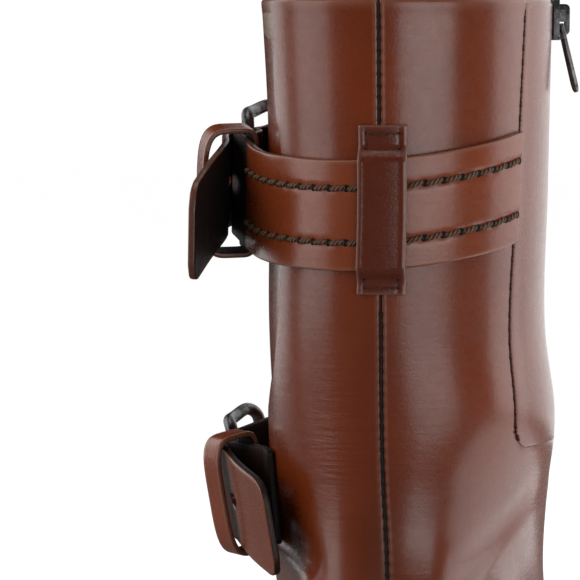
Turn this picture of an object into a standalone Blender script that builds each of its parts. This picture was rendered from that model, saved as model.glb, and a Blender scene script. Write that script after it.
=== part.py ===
"""Strapped mid-calf leather boot for the left foot.

Frame: +Y points to the toe, +X to the inner side of the foot and +Z up. The origin is the middle of the
heel's underside. Sizes are in millimetres and become metres when a mesh is made.
"""
import math

import bmesh
import bpy
import numpy as np
from mathutils import Matrix, Vector

MM = 0.001
GAP = 0.3                   # clearance between pieces that touch on the real boot
WELD = 1e-6                 # metres, joins the coincident vertices of one sheet

# The last that the upper is closed on
LAST_LENGTH = 264.0
HEEL_BACK = -34.0           # y of the back of the last at the feather edge
HALF_BALL = 48.0            # half of the width across the ball
BOOT_HEIGHT = 285.0
WALL = 2.2                  # leather and lining together
AROUND = 48                 # faces round the upper, and round the layers under it
UP_WALL = 27                # faces from feather edge to collar

# The bottom of the boot
WELT_THICK = 3.2
OUTSOLE_THICK = 5.8
INSOLE_RISE = 2.5           # insole above the feather edge
INSOLE_INSET = WALL + 1.2   # insole edge inside the outside of the upper
BALL_LEVEL = GAP + WELT_THICK + GAP + OUTSOLE_THICK
HEEL_SEAT = 36.0            # feather edge above the floor at the heel
SEAT_FRONT = 22.0           # y where the heel seat ends and the arch begins
BALL_BACK = 112.0           # the forefoot stands flat between these two
BALL_FRONT = 160.0
TOE_SPRING = 8.4
WELT_EDGE_TOE = 4.5         # how far the welt stands out beyond the upper
WELT_EDGE_HEEL = 1.6
OUTSOLE_INSET = 0.6         # step between welt edge and outsole edge
HEEL_TAPER = 0.93           # heel at the floor against heel at the seat
TOP_LIFT = 6.0
HEEL_STEPS = 8              # steps of the outsole's edge, from the back, that the heel takes

# Straps and buckles
STRAP_THICK = 2.4
BAR_RADIUS = 2.4
FRAME_REACH = 27.0          # from the bar that carries the strap to the far bar
FRAME_CORNER = 6.0
FRAME_PINCH = 1.4           # how far the long sides dip in the middle
FRAME_ROOM = 3.2            # bar middle above the strap edge
FRAME_ARCH = 4.5            # how far the long sides bow outward
PRONG_RADIUS = 1.2
FAR_BAR_STAND = BAR_RADIUS + STRAP_THICK + 2.0     # far bar's middle off the upper, over the holed strap
FAR_BAR_CLEAR = 1.6         # room between the far bar and the strap under it
FOLD_RETURN = 7.0           # strap end turned back behind the bar
FOLD_CLEAR = 0.8            # room between the fold and the strap that runs over it
SLOT_HEIGHT = 6.0           # opening in the fold for the prong
SLOT_REACH = 9.0
HOLE_LENGTH = 8.5
HOLE_HEIGHT = 4.6
HOLE_PITCH = 21.0
HOLE_CUT = 7.2              # length of the tool that cuts a hole
KEEPER_BAND = 10.0
KEEPER_THICK = 1.8
KEEPER_OVER = 3.5           # keeper's outer half over the inner face of the tail
KEEPER_ROOM = 0.9           # share of the keeper's outer half that the straps may fill
KEEPER_BOW = 0.5            # power of its bowed outer half, and of its flat inner half
KEEPER_FLAT = 0.22

# Zip on the inner side
PLACKET_FOOT = 137.0
PLACKET_TOP = 283.5
PLACKET_THICK = 1.0
PLACKET_ROUND = 10.0        # radius of its lower corners
PLACKET_CROWD = 1.8         # power that crowds its rows toward those corners
PLACKET_BACK_TURNS = (0.148, 0.172)         # its back edge, zip line and front edge, at its foot and top
ZIP_TURNS = (0.300, 0.303)
PLACKET_FRONT_TURNS = (0.334, 0.337)
ZIP_HALF = 3.2              # half of the zip chain's width
ZIP_FOOT = 147.0
ZIP_HEAD = 268.8
ZIP_THICK = 1.5
SLIDER_LEVEL = 278.3
SLIDER_THICK = 2.0
SLIDER_HALF = 4.6
SLIDER_ENDS = (-7.0, 6.6)   # its lower and upper end from its level, as for the next pairs
BRIDGE_ENDS = (-5.2, 5.2)   # bridge over the slider that holds the pull tab
BRIDGE_EYE = (-3.6, -0.8)
BRIDGE_ROOM = 2.6
BRIDGE_THICK = 1.5
BRIDGE_HALF = 1.4
NOSE_ENDS = (-6.8, -5.8)    # stop that the hanging tab rests on
NOSE_RISE = 1.1
NOSE_HALF = 2.6
JOIN_DEPTH = 0.5            # how far bridge and nose run into the slider
EYE_SINK = 0.1              # how far the eye cuts into the slider's face
EYE_HALF = 3.0
PIVOT_LEVEL = -2.2          # pull tab's pin from the slider's level
PULL_LENGTH = 23.0
PULL_HALF = 3.3
PULL_NECK = 2.8             # half of its width at the eye
PULL_THICK = 1.4
PULL_TILT = 14.0            # degrees from hanging straight down, outward
PULL_EYE_TOP = 0.85         # its eye, from the pin down
PULL_EYE_FOOT = 5.0
PULL_EYE_HALF = 1.9

RING_COLUMNS = ("back", "back_height", "front", "front_height",
                "heel", "waist", "joint", "toe", "follow", "bend", "fullness", "shift")
# Rings from the feather edge to the collar. back and front are shares of the last's length, heights are
# shares of the boot's height. heel, waist, joint and toe are half widths as shares of half the ball.
# follow is how closely the ring keeps to the curve of the sole, bend how much of the foot's inward curve
# it has, fullness the power of its round ends, and shift its move to the inner side.
RINGS = (
    (0.000, 0.1263, 1.000, 0.0632, 0.80, 0.68, 1.01, 0.80, 1.00, 1.00, 0.55, 0.00),
    (-0.017, 0.179, 1.015, 0.105, 0.85, 0.76, 1.04, 0.82, 0.90, 1.00, 0.55, 0.00),
    (-0.023, 0.225, 0.996, 0.149, 0.86, 0.81, 1.03, 0.79, 0.72, 0.95, 0.56, 0.00),
    (-0.019, 0.268, 0.917, 0.186, 0.83, 0.85, 1.00, 0.79, 0.50, 0.85, 0.58, 0.00),
    (-0.009, 0.310, 0.776, 0.212, 0.80, 0.90, 0.98, 0.83, 0.30, 0.65, 0.60, -0.01),
    (0.002, 0.351, 0.652, 0.249, 0.79, 0.91, 0.95, 0.85, 0.15, 0.40, 0.66, -0.02),
    (0.008, 0.391, 0.553, 0.307, 0.81, 0.93, 0.95, 0.87, 0.05, 0.20, 0.74, -0.02),
    (0.008, 0.435, 0.496, 0.379, 0.88, 0.96, 0.96, 0.90, 0.00, 0.08, 0.84, -0.005),
    (0.002, 0.502, 0.460, 0.481, 0.98, 1.00, 1.00, 0.96, 0.00, 0.00, 0.93, 0.02),
    (-0.008, 0.614, 0.436, 0.611, 0.97, 0.97, 0.97, 0.97, 0.00, 0.00, 0.98, -0.015),
    (-0.021, 0.779, 0.421, 0.779, 0.972, 0.972, 0.972, 0.972, 0.00, 0.00, 1.00, 0.006),
    (-0.036, 1.000, 0.409, 1.000, 1.01, 1.01, 1.01, 1.01, 0.00, 0.00, 1.00, 0.00),
)
STATIONS = (0.0, 0.13, 0.41, 0.68, 0.89, 1.0)       # heel, waist, joint and toe along a ring, with its ends
FOOT_CURVE = (0.0, 0.0, -4.5, -3.0, 6.0, 7.0)       # the sole's middle line at those stations

# Each strap pair: the strap or tab that carries the buckle, and the holed strap that goes through it.
# A turn is a share of the way round the boot, from the back seam by the inner side to the front. The
# carrier lifts off the shaft from one turn on by some millimetres, leaves it at another, splayed outward by
# some degrees, and runs free to its buckle.
STRAPS = {
    "calf": {
        "carrier": "calf_back_strap", "holed": "calf_front_strap", "width": 36.0, "holed_width": 33.0,
        "carrier_line": ((-0.25, 223.0), (-0.2, 218.6), (-0.1, 215.6), (0.0, 216.0), (0.1, 220.0),
                         (0.195, 226.5)),
        "carrier_end": 0.1603, "carrier_slant": 0.055,
        "leave": -0.2, "lift": (-0.09, 3.0), "splay": -1.0, "free_run": 27.0,
        "holed_line": ((0.30, 221.0), (0.5, 223.0), (0.75, 222.0)),
        "holed_start": 0.345, "holed_leave": 0.655,
        "keeper_back": 13.2, "keeper_half": 20.4,
        # free tail from the buckle bar: outboard, toward the back, down
        "tail": ((3.2, 14.0, 2.2), (5.4, 33.0, 8.6), (7.2, 55.0, 16.0)),
    },
    "ankle": {
        "carrier": "ankle_buckle_tab", "holed": "ankle_strap", "width": 33.5, "holed_width": 33.5,
        "carrier_line": ((-0.25, 119.5), (-0.15, 118.0), (0.0, 116.0)),
        "carrier_end": -0.176, "carrier_slant": 0.0,
        "leave": -0.198, "lift": (-0.176, 0.0), "splay": 20.5, "free_run": 26.0,
        "holed_line": ((0.30, 126.0), (0.5, 131.0), (0.75, 120.0)),
        "holed_start": 0.345, "holed_leave": 0.605,
        "keeper_back": 12.8, "keeper_half": 19.2,
        "tail": ((-0.4, 13.0, 1.0), (-9.4, 33.0, 5.0), (-21.2, 52.0, 9.5)),
    },
}

# Upright keeper on the back seam: its outline in height, and how far it stands off the shaft there
BACK_KEEPER_HALF = 8.0
BACK_KEEPER_THICK = 1.8
BACK_KEEPER_LINE = ((189.9, 0.0), (194.8, 0.0), (197.0, 1.0), (200.0, 1.0),
                    (216.0, 1.0), (232.0, 1.0), (235.8, 1.0), (238.2, 0.0), (244.6, 0.0))

LEATHER = ("chestnut_leather", (0.155, 0.052, 0.026), 0.35, 0.0)
STRAP_LEATHER = ("strap_leather", (0.190, 0.062, 0.024), 0.35, 0.0)
KEEPER_LEATHER = ("keeper_leather", (0.085, 0.030, 0.016), 0.45, 0.0)
SOLE_LEATHER = ("stacked_heel", (0.060, 0.024, 0.014), 0.55, 0.0)
SOLE_RUBBER = ("sole_rubber", (0.020, 0.016, 0.014), 0.75, 0.0)
INSOLE_BOARD = ("insole_leather", (0.380, 0.250, 0.150), 0.70, 0.0)
BUCKLE_METAL = ("buckle_metal", (0.300, 0.285, 0.265), 0.35, 1.0)
ZIP_METAL = ("zip_metal", (0.110, 0.105, 0.100), 0.35, 1.0)


def smooth_curve(at, knots, values):
    """Cubic curve through the values at the knots, read at the places asked for."""
    at = np.asarray(at, float)
    knots = np.asarray(knots, float)
    values = np.asarray(values, float)
    slopes = np.gradient(values, knots, axis=0)
    held = np.clip(at, knots[0], knots[-1])
    first = np.clip(np.searchsorted(knots, held, side="right") - 1, 0, len(knots) - 2)
    span = knots[first + 1] - knots[first]
    part = (held - knots[first]) / span
    if values.ndim > 1:
        part = part[..., None]
        span = span[..., None]
    square = part * part
    cube = square * part
    start = (2 * cube - 3 * square + 1) * values[first] + (cube - 2 * square + part) * span * slopes[first]
    end = (3 * square - 2 * cube) * values[first + 1] + (cube - square) * span * slopes[first + 1]
    return start + end


def unit(vectors):
    """Vectors at length one."""
    vectors = np.asarray(vectors, float)
    return vectors / np.linalg.norm(vectors, axis=-1, keepdims=True)


def sole_height(y):
    """Feather edge above the floor: heel seat, arch, flat forefoot, toe spring."""
    arch = np.clip((BALL_BACK - y) / (BALL_BACK - SEAT_FRONT), 0.0, 1.0)
    toe_end = HEEL_BACK + LAST_LENGTH
    spring = np.clip((y - BALL_FRONT) / (toe_end - BALL_FRONT), 0.0, None)
    climb = (HEEL_SEAT - BALL_LEVEL) * arch * arch * (3.0 - 2.0 * arch)
    return BALL_LEVEL + climb + TOE_SPRING * spring * spring


RING_TABLE = np.array(RINGS)
COLUMN = {name: place for place, name in enumerate(RING_COLUMNS)}


def ring_rises():
    """Rise of each row: the mean way along the back and the front, from 0 at the sole to 1 at the collar."""
    back = RING_TABLE[:, :2] * (LAST_LENGTH, BOOT_HEIGHT)
    front = RING_TABLE[:, 2:4] * (LAST_LENGTH, BOOT_HEIGHT)
    step = np.linalg.norm(np.diff(back, axis=0), axis=1) + np.linalg.norm(np.diff(front, axis=0), axis=1)
    way = np.concatenate(([0.0], np.cumsum(step)))
    return way / way[-1]


RISES = ring_rises()


def surface(turn, rise):
    """Point on the outside of the upper."""
    turn, rise = np.broadcast_arrays(np.asarray(turn, float), np.asarray(rise, float))
    row = smooth_curve(rise, RISES, RING_TABLE)
    ring = {name: row[..., place] for name, place in COLUMN.items()}
    angle = 2.0 * math.pi * turn
    share = (1.0 - np.cos(angle)) / 2.0
    y = HEEL_BACK + LAST_LENGTH * (ring["back"] + (ring["front"] - ring["back"]) * share)
    line = ring["back_height"] + (ring["front_height"] - ring["back_height"]) * share
    sole = RING_TABLE[0]
    sole_line = sole[1] + (sole[3] - sole[1]) * share
    sag = sole_height(HEEL_BACK + LAST_LENGTH * share) - BOOT_HEIGHT * sole_line
    z = BOOT_HEIGHT * line + ring["follow"] * sag
    widths = smooth_curve(share, STATIONS, np.eye(len(STATIONS)))
    named = [ring[name] for name in ("heel", "heel", "waist", "joint", "toe", "toe")]
    half = HALF_BALL * sum(widths[..., place] * value for place, value in enumerate(named))
    across = np.sin(angle)
    bulge = np.sign(across) * half * np.abs(across) ** ring["fullness"]
    x = bulge + ring["bend"] * smooth_curve(share, STATIONS, FOOT_CURVE) + HALF_BALL * ring["shift"]
    return np.stack((x, y, z), axis=-1)


def outward(turn, rise):
    """Unit normal of the upper at a point, away from the foot."""
    step = 1e-3
    low = np.clip(np.asarray(rise, float) - step, 0.0, 1.0)
    high = np.clip(np.asarray(rise, float) + step, 0.0, 1.0)
    round_way = surface(turn + step, rise) - surface(turn - step, rise)
    up_way = surface(turn, high) - surface(turn, low)
    return unit(np.cross(round_way, up_way))


def rise_at(turn, height):
    """Rise at which the upper has this height above the floor."""
    turn, height = np.broadcast_arrays(np.asarray(turn, float), np.asarray(height, float))
    low = np.zeros(turn.shape)
    high = np.ones(turn.shape)
    for _ in range(30):
        middle = (low + high) / 2.0
        below = surface(turn, middle)[..., 2] < height
        low = np.where(below, middle, low)
        high = np.where(below, high, middle)
    return (low + high) / 2.0


def on_shaft(turn, height, stand):
    """Point at a turn and a height, standing off the upper by so much."""
    turn, height = np.broadcast_arrays(np.asarray(turn, float), np.asarray(height, float))
    rise = rise_at(turn, height)
    return surface(turn, rise) + outward(turn, rise) * np.asarray(stand, float)[..., None]


def strap_seat(turn, height, width):
    """Middle of a flat strap's inner face laid on the shaft, and its upward direction."""
    turn = np.asarray(turn, float)
    levels = np.linspace(-0.5, 0.5, 5)
    points = np.stack([on_shaft(turn, height + width * level, 0.0) for level in levels])
    up = unit(points[-1] - points[0])
    out = outward(turn, rise_at(turn, height))
    out = unit(out - up * np.sum(out * up, axis=-1, keepdims=True))
    stand = np.max(np.sum((points - points[0]) * out, axis=-1), axis=0) + GAP
    middle = (points[0] + points[-1]) / 2.0 + out * stand[..., None]
    return middle, up


def stand_off(point):
    """How far a point at the outer side is clear of the upper at its own height."""
    turns = np.linspace(0.5, 1.0, 241)
    ring = on_shaft(turns, point[2], np.zeros(len(turns)))
    near = int(np.argmin(np.linalg.norm(ring - point, axis=1)))
    return float(np.dot(point - ring[near], outward(turns[near], rise_at(turns[near], point[2]))))


def clear_scene():
    """Start from nothing."""
    for leftover in list(bpy.data.objects):
        bpy.data.objects.remove(leftover)


def make_collection(name):
    group = bpy.data.collections.new(name)
    bpy.context.scene.collection.children.link(group)
    return group


MATERIALS = {}


def material(kind):
    """One Principled material for each kind of stuff."""
    name, colour, roughness, metallic = kind
    if name not in MATERIALS:
        made = bpy.data.materials.new(name)
        made.use_nodes = True
        shader = made.node_tree.nodes["Principled BSDF"]
        shader.inputs["Base Color"].default_value = (*colour, 1.0)
        shader.inputs["Roughness"].default_value = roughness
        shader.inputs["Metallic"].default_value = metallic
        MATERIALS[name] = made
    return MATERIALS[name]


def add_object(name, mesh, kind, place=(0.0, 0.0, 0.0)):
    """A named part from a mesh that is in metres about its place."""
    made = bpy.data.objects.new(name, mesh)
    made.location = place
    mesh.materials.append(material(kind))
    PARTS.objects.link(made)
    return made


def add_cutter(name, mesh):
    """A hidden tool for a Boolean."""
    made = bpy.data.objects.new(name, mesh)
    made.hide_render = True
    made.display_type = "WIRE"
    CUTTERS.objects.link(made)
    return made


def bmesh_to_mesh(name, bm):
    mesh = bpy.data.meshes.new(name)
    bm.to_mesh(mesh)
    bm.free()
    return mesh


def solidify(part, thickness, side):
    """Wall of a sheet: side -1 grows it inward, +1 outward."""
    wall = part.modifiers.new("wall", "SOLIDIFY")
    wall.thickness = thickness * MM
    wall.offset = side
    wall.use_even_offset = True
    wall.use_quality_normals = True


def cut(part, cutter, operation="DIFFERENCE"):
    tool = part.modifiers.new(cutter.name, "BOOLEAN")
    tool.operation = operation
    tool.solver = "EXACT"
    tool.object = cutter


def grid_mesh(name, columns, rows, place):
    """A grid bent into a sheet: place takes shares along and across and gives points."""
    bm = bmesh.new()
    bmesh.ops.create_grid(bm, x_segments=columns, y_segments=rows, size=0.5)
    along = np.array([vert.co.x + 0.5 for vert in bm.verts])
    across = np.array([vert.co.y + 0.5 for vert in bm.verts])
    for vert, point in zip(bm.verts, place(along, across) * MM):
        vert.co = point
    bmesh.ops.remove_doubles(bm, verts=bm.verts, dist=WELD)
    return bmesh_to_mesh(name, bm)


def route_sheet(points, ups, width):
    """Place function of a strap whose inner face runs through these points."""
    def place(along, across):
        stop = np.rint(along * (len(points) - 1)).astype(int)
        return points[stop] + ups[stop] * ((across - 0.5) * width)[:, None]
    return place


def make_upper():
    def place(along, across):
        return surface(along, across)
    upper = add_object("upper", grid_mesh("upper", AROUND, UP_WALL, place), LEATHER)
    solidify(upper, WALL, -1.0)


def sole_outline(angle, edge_heel, edge_toe):
    """The feather edge, moved level outward more at the toe than at the heel."""
    step = 1e-3
    turn = angle / (2.0 * math.pi)
    way = surface(turn + step, 0.0) - surface(turn - step, 0.0)
    normal = np.stack((way[..., 1], -way[..., 0], np.zeros(turn.shape)), axis=-1)
    share = (1.0 - np.cos(angle)) / 2.0
    return surface(turn, 0.0) + unit(normal) * (edge_heel + (edge_toe - edge_heel) * share)[..., None]


def sole_sheet(edge_heel, edge_toe, drop, end_angle):
    """Place function of a layer's top: inside the outline, a drop below the feather edge."""
    def place(along, across):
        angle = along * end_angle
        inner = sole_outline(angle, edge_heel, edge_toe)
        outer = sole_outline(-angle, edge_heel, edge_toe)
        return outer + (inner - outer) * across[:, None] - (0.0, 0.0, drop)
    return place


def thicken_down(mesh, move):
    """Close a sheet into a layer: a copy of it goes down by the given move, with sides between."""
    bm = bmesh.new()
    bm.from_mesh(mesh)
    grown = bmesh.ops.extrude_face_region(bm, geom=bm.faces[:])
    for item in grown["geom"]:
        if isinstance(item, bmesh.types.BMVert):
            item.co = move(item.co)
    bmesh.ops.recalc_face_normals(bm, faces=bm.faces)
    bm.to_mesh(mesh)
    bm.free()
    return mesh


def lowered(thickness):
    """Straight down by a thickness."""
    def move(point):
        return point - Vector((0.0, 0.0, thickness * MM))
    return move


def make_sole():
    top = sole_sheet(-INSOLE_INSET, -INSOLE_INSET, -INSOLE_RISE, math.pi)
    board = grid_mesh("insole", AROUND // 2, 4, top)
    add_object("insole", thicken_down(board, lowered(INSOLE_RISE + GAP + WELT_THICK)), INSOLE_BOARD)

    def welt_top(along, across):
        angle = along * 2.0 * math.pi
        inner = sole_outline(angle, -WALL, -WALL)
        outer = sole_outline(angle, WELT_EDGE_HEEL, WELT_EDGE_TOE)
        return outer + (inner - outer) * across[:, None] - (0.0, 0.0, GAP)
    strip = grid_mesh("welt", AROUND, 1, welt_top)
    add_object("welt", thicken_down(strip, lowered(WELT_THICK)), SOLE_LEATHER)

    drop = GAP + WELT_THICK + GAP
    edge_heel = WELT_EDGE_HEEL - OUTSOLE_INSET
    edge_toe = WELT_EDGE_TOE - OUTSOLE_INSET
    under = grid_mesh("outsole", AROUND // 2, 4, sole_sheet(edge_heel, edge_toe, drop, math.pi))
    add_object("outsole", thicken_down(under, lowered(OUTSOLE_THICK)), SOLE_RUBBER)

    breast = HEEL_STEPS * 2.0 * math.pi / AROUND
    block_top = sole_sheet(edge_heel, edge_toe, BALL_LEVEL + GAP, breast)

    def taper(point, level):
        """Heel outline at a level between the seat and the floor."""
        share = 1.0 - (1.0 - HEEL_TAPER) * (1.0 - level / HEEL_SEAT)
        return Vector((point.x * share, point.y * share, level * MM))

    def block_foot(point):
        return taper(point, TOP_LIFT + GAP)
    block = grid_mesh("heel", HEEL_STEPS, 4, block_top)
    add_object("heel", thicken_down(block, block_foot), SOLE_LEATHER)

    def lift_foot(point):
        return taper(point, 0.0)
    lift = grid_mesh("heel_top_lift", HEEL_STEPS, 4, block_top)
    for vert in lift.vertices:
        vert.co = taper(vert.co, TOP_LIFT)
    add_object("heel_top_lift", thicken_down(lift, lift_foot), SOLE_RUBBER)


def rounded_loop(breadth, half_height, corner, pinch):
    """Rounded rectangle from the carrying bar at 0 to breadth, its long sides pinched in the middle."""
    loop = []
    corners = ((breadth - corner, half_height - corner, 0.0), (corner, half_height - corner, 90.0),
               (corner, corner - half_height, 180.0), (breadth - corner, corner - half_height, 270.0))
    for place, (middle, level, start) in enumerate(corners):
        for step in range(5):
            turned = math.radians(start + 90.0 * step / 4.0)
            loop.append((middle + corner * math.cos(turned), level + corner * math.sin(turned)))
        if place == 0:
            loop.append((breadth / 2.0, half_height - pinch))
        if place == 2:
            loop.append((breadth / 2.0, pinch - half_height))
    return loop


def tube(name, points, radius, cyclic, kind):
    """Round bar along points."""
    curve = bpy.data.curves.new(name, "CURVE")
    curve.dimensions = "3D"
    curve.bevel_depth = radius * MM
    curve.bevel_resolution = 2
    curve.use_fill_caps = not cyclic
    spline = curve.splines.new("POLY")
    spline.points.add(len(points) - 1)
    for knot, point in zip(spline.points, points):
        knot.co = (*(Vector(point) * MM), 1.0)
    spline.use_cyclic_u = cyclic
    made = bpy.data.objects.new(name, curve)
    CUTTERS.objects.link(made)
    mesh = bpy.data.meshes.new_from_object(made.evaluated_get(bpy.context.evaluated_depsgraph_get()))
    bpy.data.objects.remove(made)
    bm = bmesh.new()
    bm.from_mesh(mesh)
    bmesh.ops.remove_doubles(bm, verts=bm.verts, dist=WELD)
    bmesh.ops.recalc_face_normals(bm, faces=bm.faces)
    bm.to_mesh(mesh)
    bm.free()
    mesh.materials.clear()
    return add_object(name, mesh, kind)


def box_mesh(name, size, axes, middle):
    """Box of a size along three axes about its middle."""
    bm = bmesh.new()
    bmesh.ops.create_cube(bm, size=1.0)
    frame = np.array(axes) * np.array(size)[:, None]
    for vert in bm.verts:
        vert.co = (np.array(vert.co) @ frame + middle) * MM
    bmesh.ops.recalc_face_normals(bm, faces=bm.faces)
    return bmesh_to_mesh(name, bm)


def oval_holes(name, stops):
    """Cutters for the oval strap holes: each stop is a middle with its along, up and through axes."""
    bm = bmesh.new()
    for middle, along, up, through in stops:
        made = bmesh.ops.create_cone(bm, cap_ends=True, segments=16, radius1=0.5, radius2=0.5, depth=1.0)
        frame = np.array((along * HOLE_LENGTH, up * HOLE_HEIGHT, through * HOLE_CUT))
        for vert in made["verts"]:
            vert.co = (np.array(vert.co) @ frame + middle) * MM
    bmesh.ops.recalc_face_normals(bm, faces=bm.faces)
    return add_cutter(name, bmesh_to_mesh(name, bm))


def carrier_seat(strap, turns):
    """Seat of the strap that carries the buckle: it lifts off the shaft toward the place where it leaves."""
    line = np.array(strap["carrier_line"])
    heights = smooth_curve(turns, line[:, 0], line[:, 1])
    middles, ups = strap_seat(turns, heights, strap["width"])
    lift_from, lift = strap["lift"]
    share = np.clip((lift_from - turns) / (lift_from - strap["leave"]), 0.0, 1.0)
    return middles + outward(turns, rise_at(turns, heights)) * (lift * share * share)[:, None], ups


def buckle_frame_of(strap):
    """Where a buckle sits: its bars, and the directions of its strap and of its frame."""
    step = 0.004
    middles, ups = carrier_seat(strap, np.array((strap["leave"], strap["leave"] + step)))
    tangent = unit(middles[0] - middles[1])
    aside = unit(np.cross(ups[0], tangent))
    splay = math.radians(strap["splay"])
    forward = tangent * math.cos(splay) + aside * math.sin(splay)
    out = unit(np.cross(ups[0], forward))
    up = np.cross(forward, out)
    bar = middles[0] + forward * strap["free_run"] - out * (BAR_RADIUS + GAP)
    half_height = strap["width"] / 2.0 + FRAME_ROOM + FRAME_PINCH
    levels = up * np.linspace(-half_height, half_height, 5)[:, None]
    least, most = 0.0, math.pi / 2.0
    for _ in range(20):
        lean = (least + most) / 2.0
        reach = forward * math.cos(lean) - out * math.sin(lean)
        far_bar = bar + reach * FRAME_REACH
        if min(stand_off(point) for point in far_bar + levels) > FAR_BAR_STAND:
            least = lean
        else:
            most = lean
    inward = -out * math.cos(lean) - forward * math.sin(lean)
    return {"forward": forward, "out": out, "up": up, "bar": bar, "reach": reach, "inward": inward,
            "far_bar": far_bar, "start": middles[0]}


def carrier_route(strap, place):
    """Inner face of the strap that carries the buckle, from its turned-back end to its sewn end."""
    radius = BAR_RADIUS + GAP
    points = []
    for share in np.linspace(0.0, 1.0, 6):
        ease = (1.0 + math.cos(math.pi * share)) / 2.0
        level = (radius - GAP) * ease - radius * (1.0 - ease)
        points.append(place["bar"] - place["forward"] * FOLD_RETURN * (1.0 - share) + place["out"] * level)
    for turned in np.linspace(-90.0, 90.0, 11)[1:]:
        swing = math.radians(turned)
        points.append(place["bar"] + radius * (place["out"] * math.sin(swing)
                                               + place["forward"] * math.cos(swing)))
    for share in np.linspace(1.0, 0.0, 7)[1:-1]:
        points.append(place["start"] + place["forward"] * strap["free_run"] * share)
    ups = [place["up"]] * len(points)
    count = max(3, int(abs(strap["carrier_end"] - strap["leave"]) * 90))
    turns = np.linspace(strap["leave"], strap["carrier_end"], count)
    middles, seat_ups = carrier_seat(strap, turns)
    seat_ups[-1] += unit(middles[-1] - middles[-2]) * strap["carrier_slant"]
    return np.vstack((points, middles)), np.vstack((ups, seat_ups))


def holed_route(strap, place):
    """Inner face of the holed strap: round the front, under the far bar, over the fold, and its tail."""
    line = np.array(strap["holed_line"])
    turns = np.linspace(strap["holed_start"], strap["holed_leave"], 24)
    heights = smooth_curve(turns, line[:, 0], line[:, 1])
    middles, seat_ups = strap_seat(turns, heights, strap["holed_width"])
    under = place["far_bar"] + place["inward"] * (BAR_RADIUS + FAR_BAR_CLEAR + STRAP_THICK)
    over = place["bar"] - place["inward"] * (BAR_RADIUS + GAP + STRAP_THICK + FOLD_CLEAR)
    knots = [middles[-2], middles[-1], under, (under + over) / 2.0, over]
    for outboard, back, down in strap["tail"]:
        knots.append(place["bar"] + (-outboard - FOLD_CLEAR, -back, -down))
    knots = np.array(knots)
    ways = np.concatenate(([0.0], np.cumsum(np.linalg.norm(np.diff(knots, axis=0), axis=1))))
    stops = np.linspace(ways[1], ways[-1], 30)[1:]
    free = smooth_curve(stops, ways, knots)
    share = np.clip((stops - ways[1]) / (ways[2] - ways[1]), 0.0, 1.0)[:, None]
    free_ups = unit(seat_ups[-1] * (1.0 - share) + place["up"] * share)
    return np.vstack((middles, free)), np.vstack((seat_ups, free_ups))


def nearest_stop(points, target):
    """Place in a route that is nearest to a point."""
    return int(np.argmin(np.linalg.norm(points - target, axis=1)))


def prong_crossing(points, ups, ways, root, tip):
    """Way along a strap's route to where the prong goes through the middle of its thickness."""
    through = unit(np.cross(np.gradient(points, axis=0), ups))
    middles = points + through * STRAP_THICK / 2.0
    way = unit(tip - root)
    start = ways[nearest_stop(points, root)]
    end = ways[nearest_stop(points, tip)]
    tries = np.linspace(min(start, end), max(start, end), 200)
    line = np.column_stack([np.interp(tries, ways, middles[:, axis]) for axis in range(3)]) - root
    apart = np.linalg.norm(line - np.outer(line @ way, way), axis=1)
    return float(tries[np.argmin(apart)])


def make_strap_pair(name, strap):
    place = buckle_frame_of(strap)
    up = place["up"]
    width = strap["width"]

    points, ups = carrier_route(strap, place)
    sheet = grid_mesh(strap["carrier"], len(points) - 1, 1, route_sheet(points, ups, width))
    carrier = add_object(strap["carrier"], sheet, STRAP_LEATHER)
    solidify(carrier, STRAP_THICK, 1.0)
    slot_size = (2.0 * SLOT_REACH, 4.0 * SLOT_REACH, SLOT_HEIGHT)
    slot_axes = (place["forward"], place["out"], up)
    cut(carrier, add_cutter(name + "_prong_slot",
                            box_mesh(name + "_prong_slot", slot_size, slot_axes, place["bar"])))

    points, ups = holed_route(strap, place)
    sheet = grid_mesh(strap["holed"], len(points) - 1, 1, route_sheet(points, ups, strap["holed_width"]))
    holed = add_object(strap["holed"], sheet, STRAP_LEATHER)
    solidify(holed, STRAP_THICK, 1.0)
    ways = np.concatenate(([0.0], np.cumsum(np.linalg.norm(np.diff(points, axis=0), axis=1))))
    hook_radius = BAR_RADIUS + GAP + PRONG_RADIUS
    prong_tip = place["far_bar"] - place["inward"] * hook_radius
    prong_root = place["bar"] + place["inward"] * hook_radius
    crossing = prong_crossing(points, ups, ways, prong_root, prong_tip)
    stops = []
    for pitch in (-2, -1, 0, 1, 2):
        at = crossing + pitch * HOLE_PITCH
        middle = np.array([np.interp(at, ways, points[:, axis]) for axis in range(3)])
        ahead = np.array([np.interp(at + 1.0, ways, points[:, axis]) for axis in range(3)])
        along = unit(ahead - middle)
        stand = ups[nearest_stop(points, middle)]
        through = unit(np.cross(along, stand))
        stops.append((middle + through * STRAP_THICK / 2.0, along, np.cross(through, along), through))
    cut(holed, oval_holes(name + "_holes", stops))

    half_height = width / 2.0 + FRAME_ROOM
    loop = rounded_loop(FRAME_REACH, half_height + FRAME_PINCH, FRAME_CORNER, FRAME_PINCH)
    frame = []
    for far, level in loop:
        arch = FRAME_ARCH * math.sin(math.pi * far / FRAME_REACH)
        frame.append(place["bar"] + place["reach"] * far + up * level - place["inward"] * arch)
    tube(name + "_buckle_frame", frame, BAR_RADIUS, True, BUCKLE_METAL)

    hook = []
    for turned in np.linspace(200.0, 0.0, 9):
        swing = math.radians(turned)
        hook.append(place["bar"] + hook_radius * (place["inward"] * math.cos(swing)
                                                  - place["reach"] * math.sin(swing)))
    hook += [prong_tip, prong_tip + place["reach"] * 2.0 * BAR_RADIUS]
    tube(name + "_buckle_prong", hook, PRONG_RADIUS, False, BUCKLE_METAL)

    make_strap_keeper(name, strap, place, points[nearest_stop(points, place["bar"]):])


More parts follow.
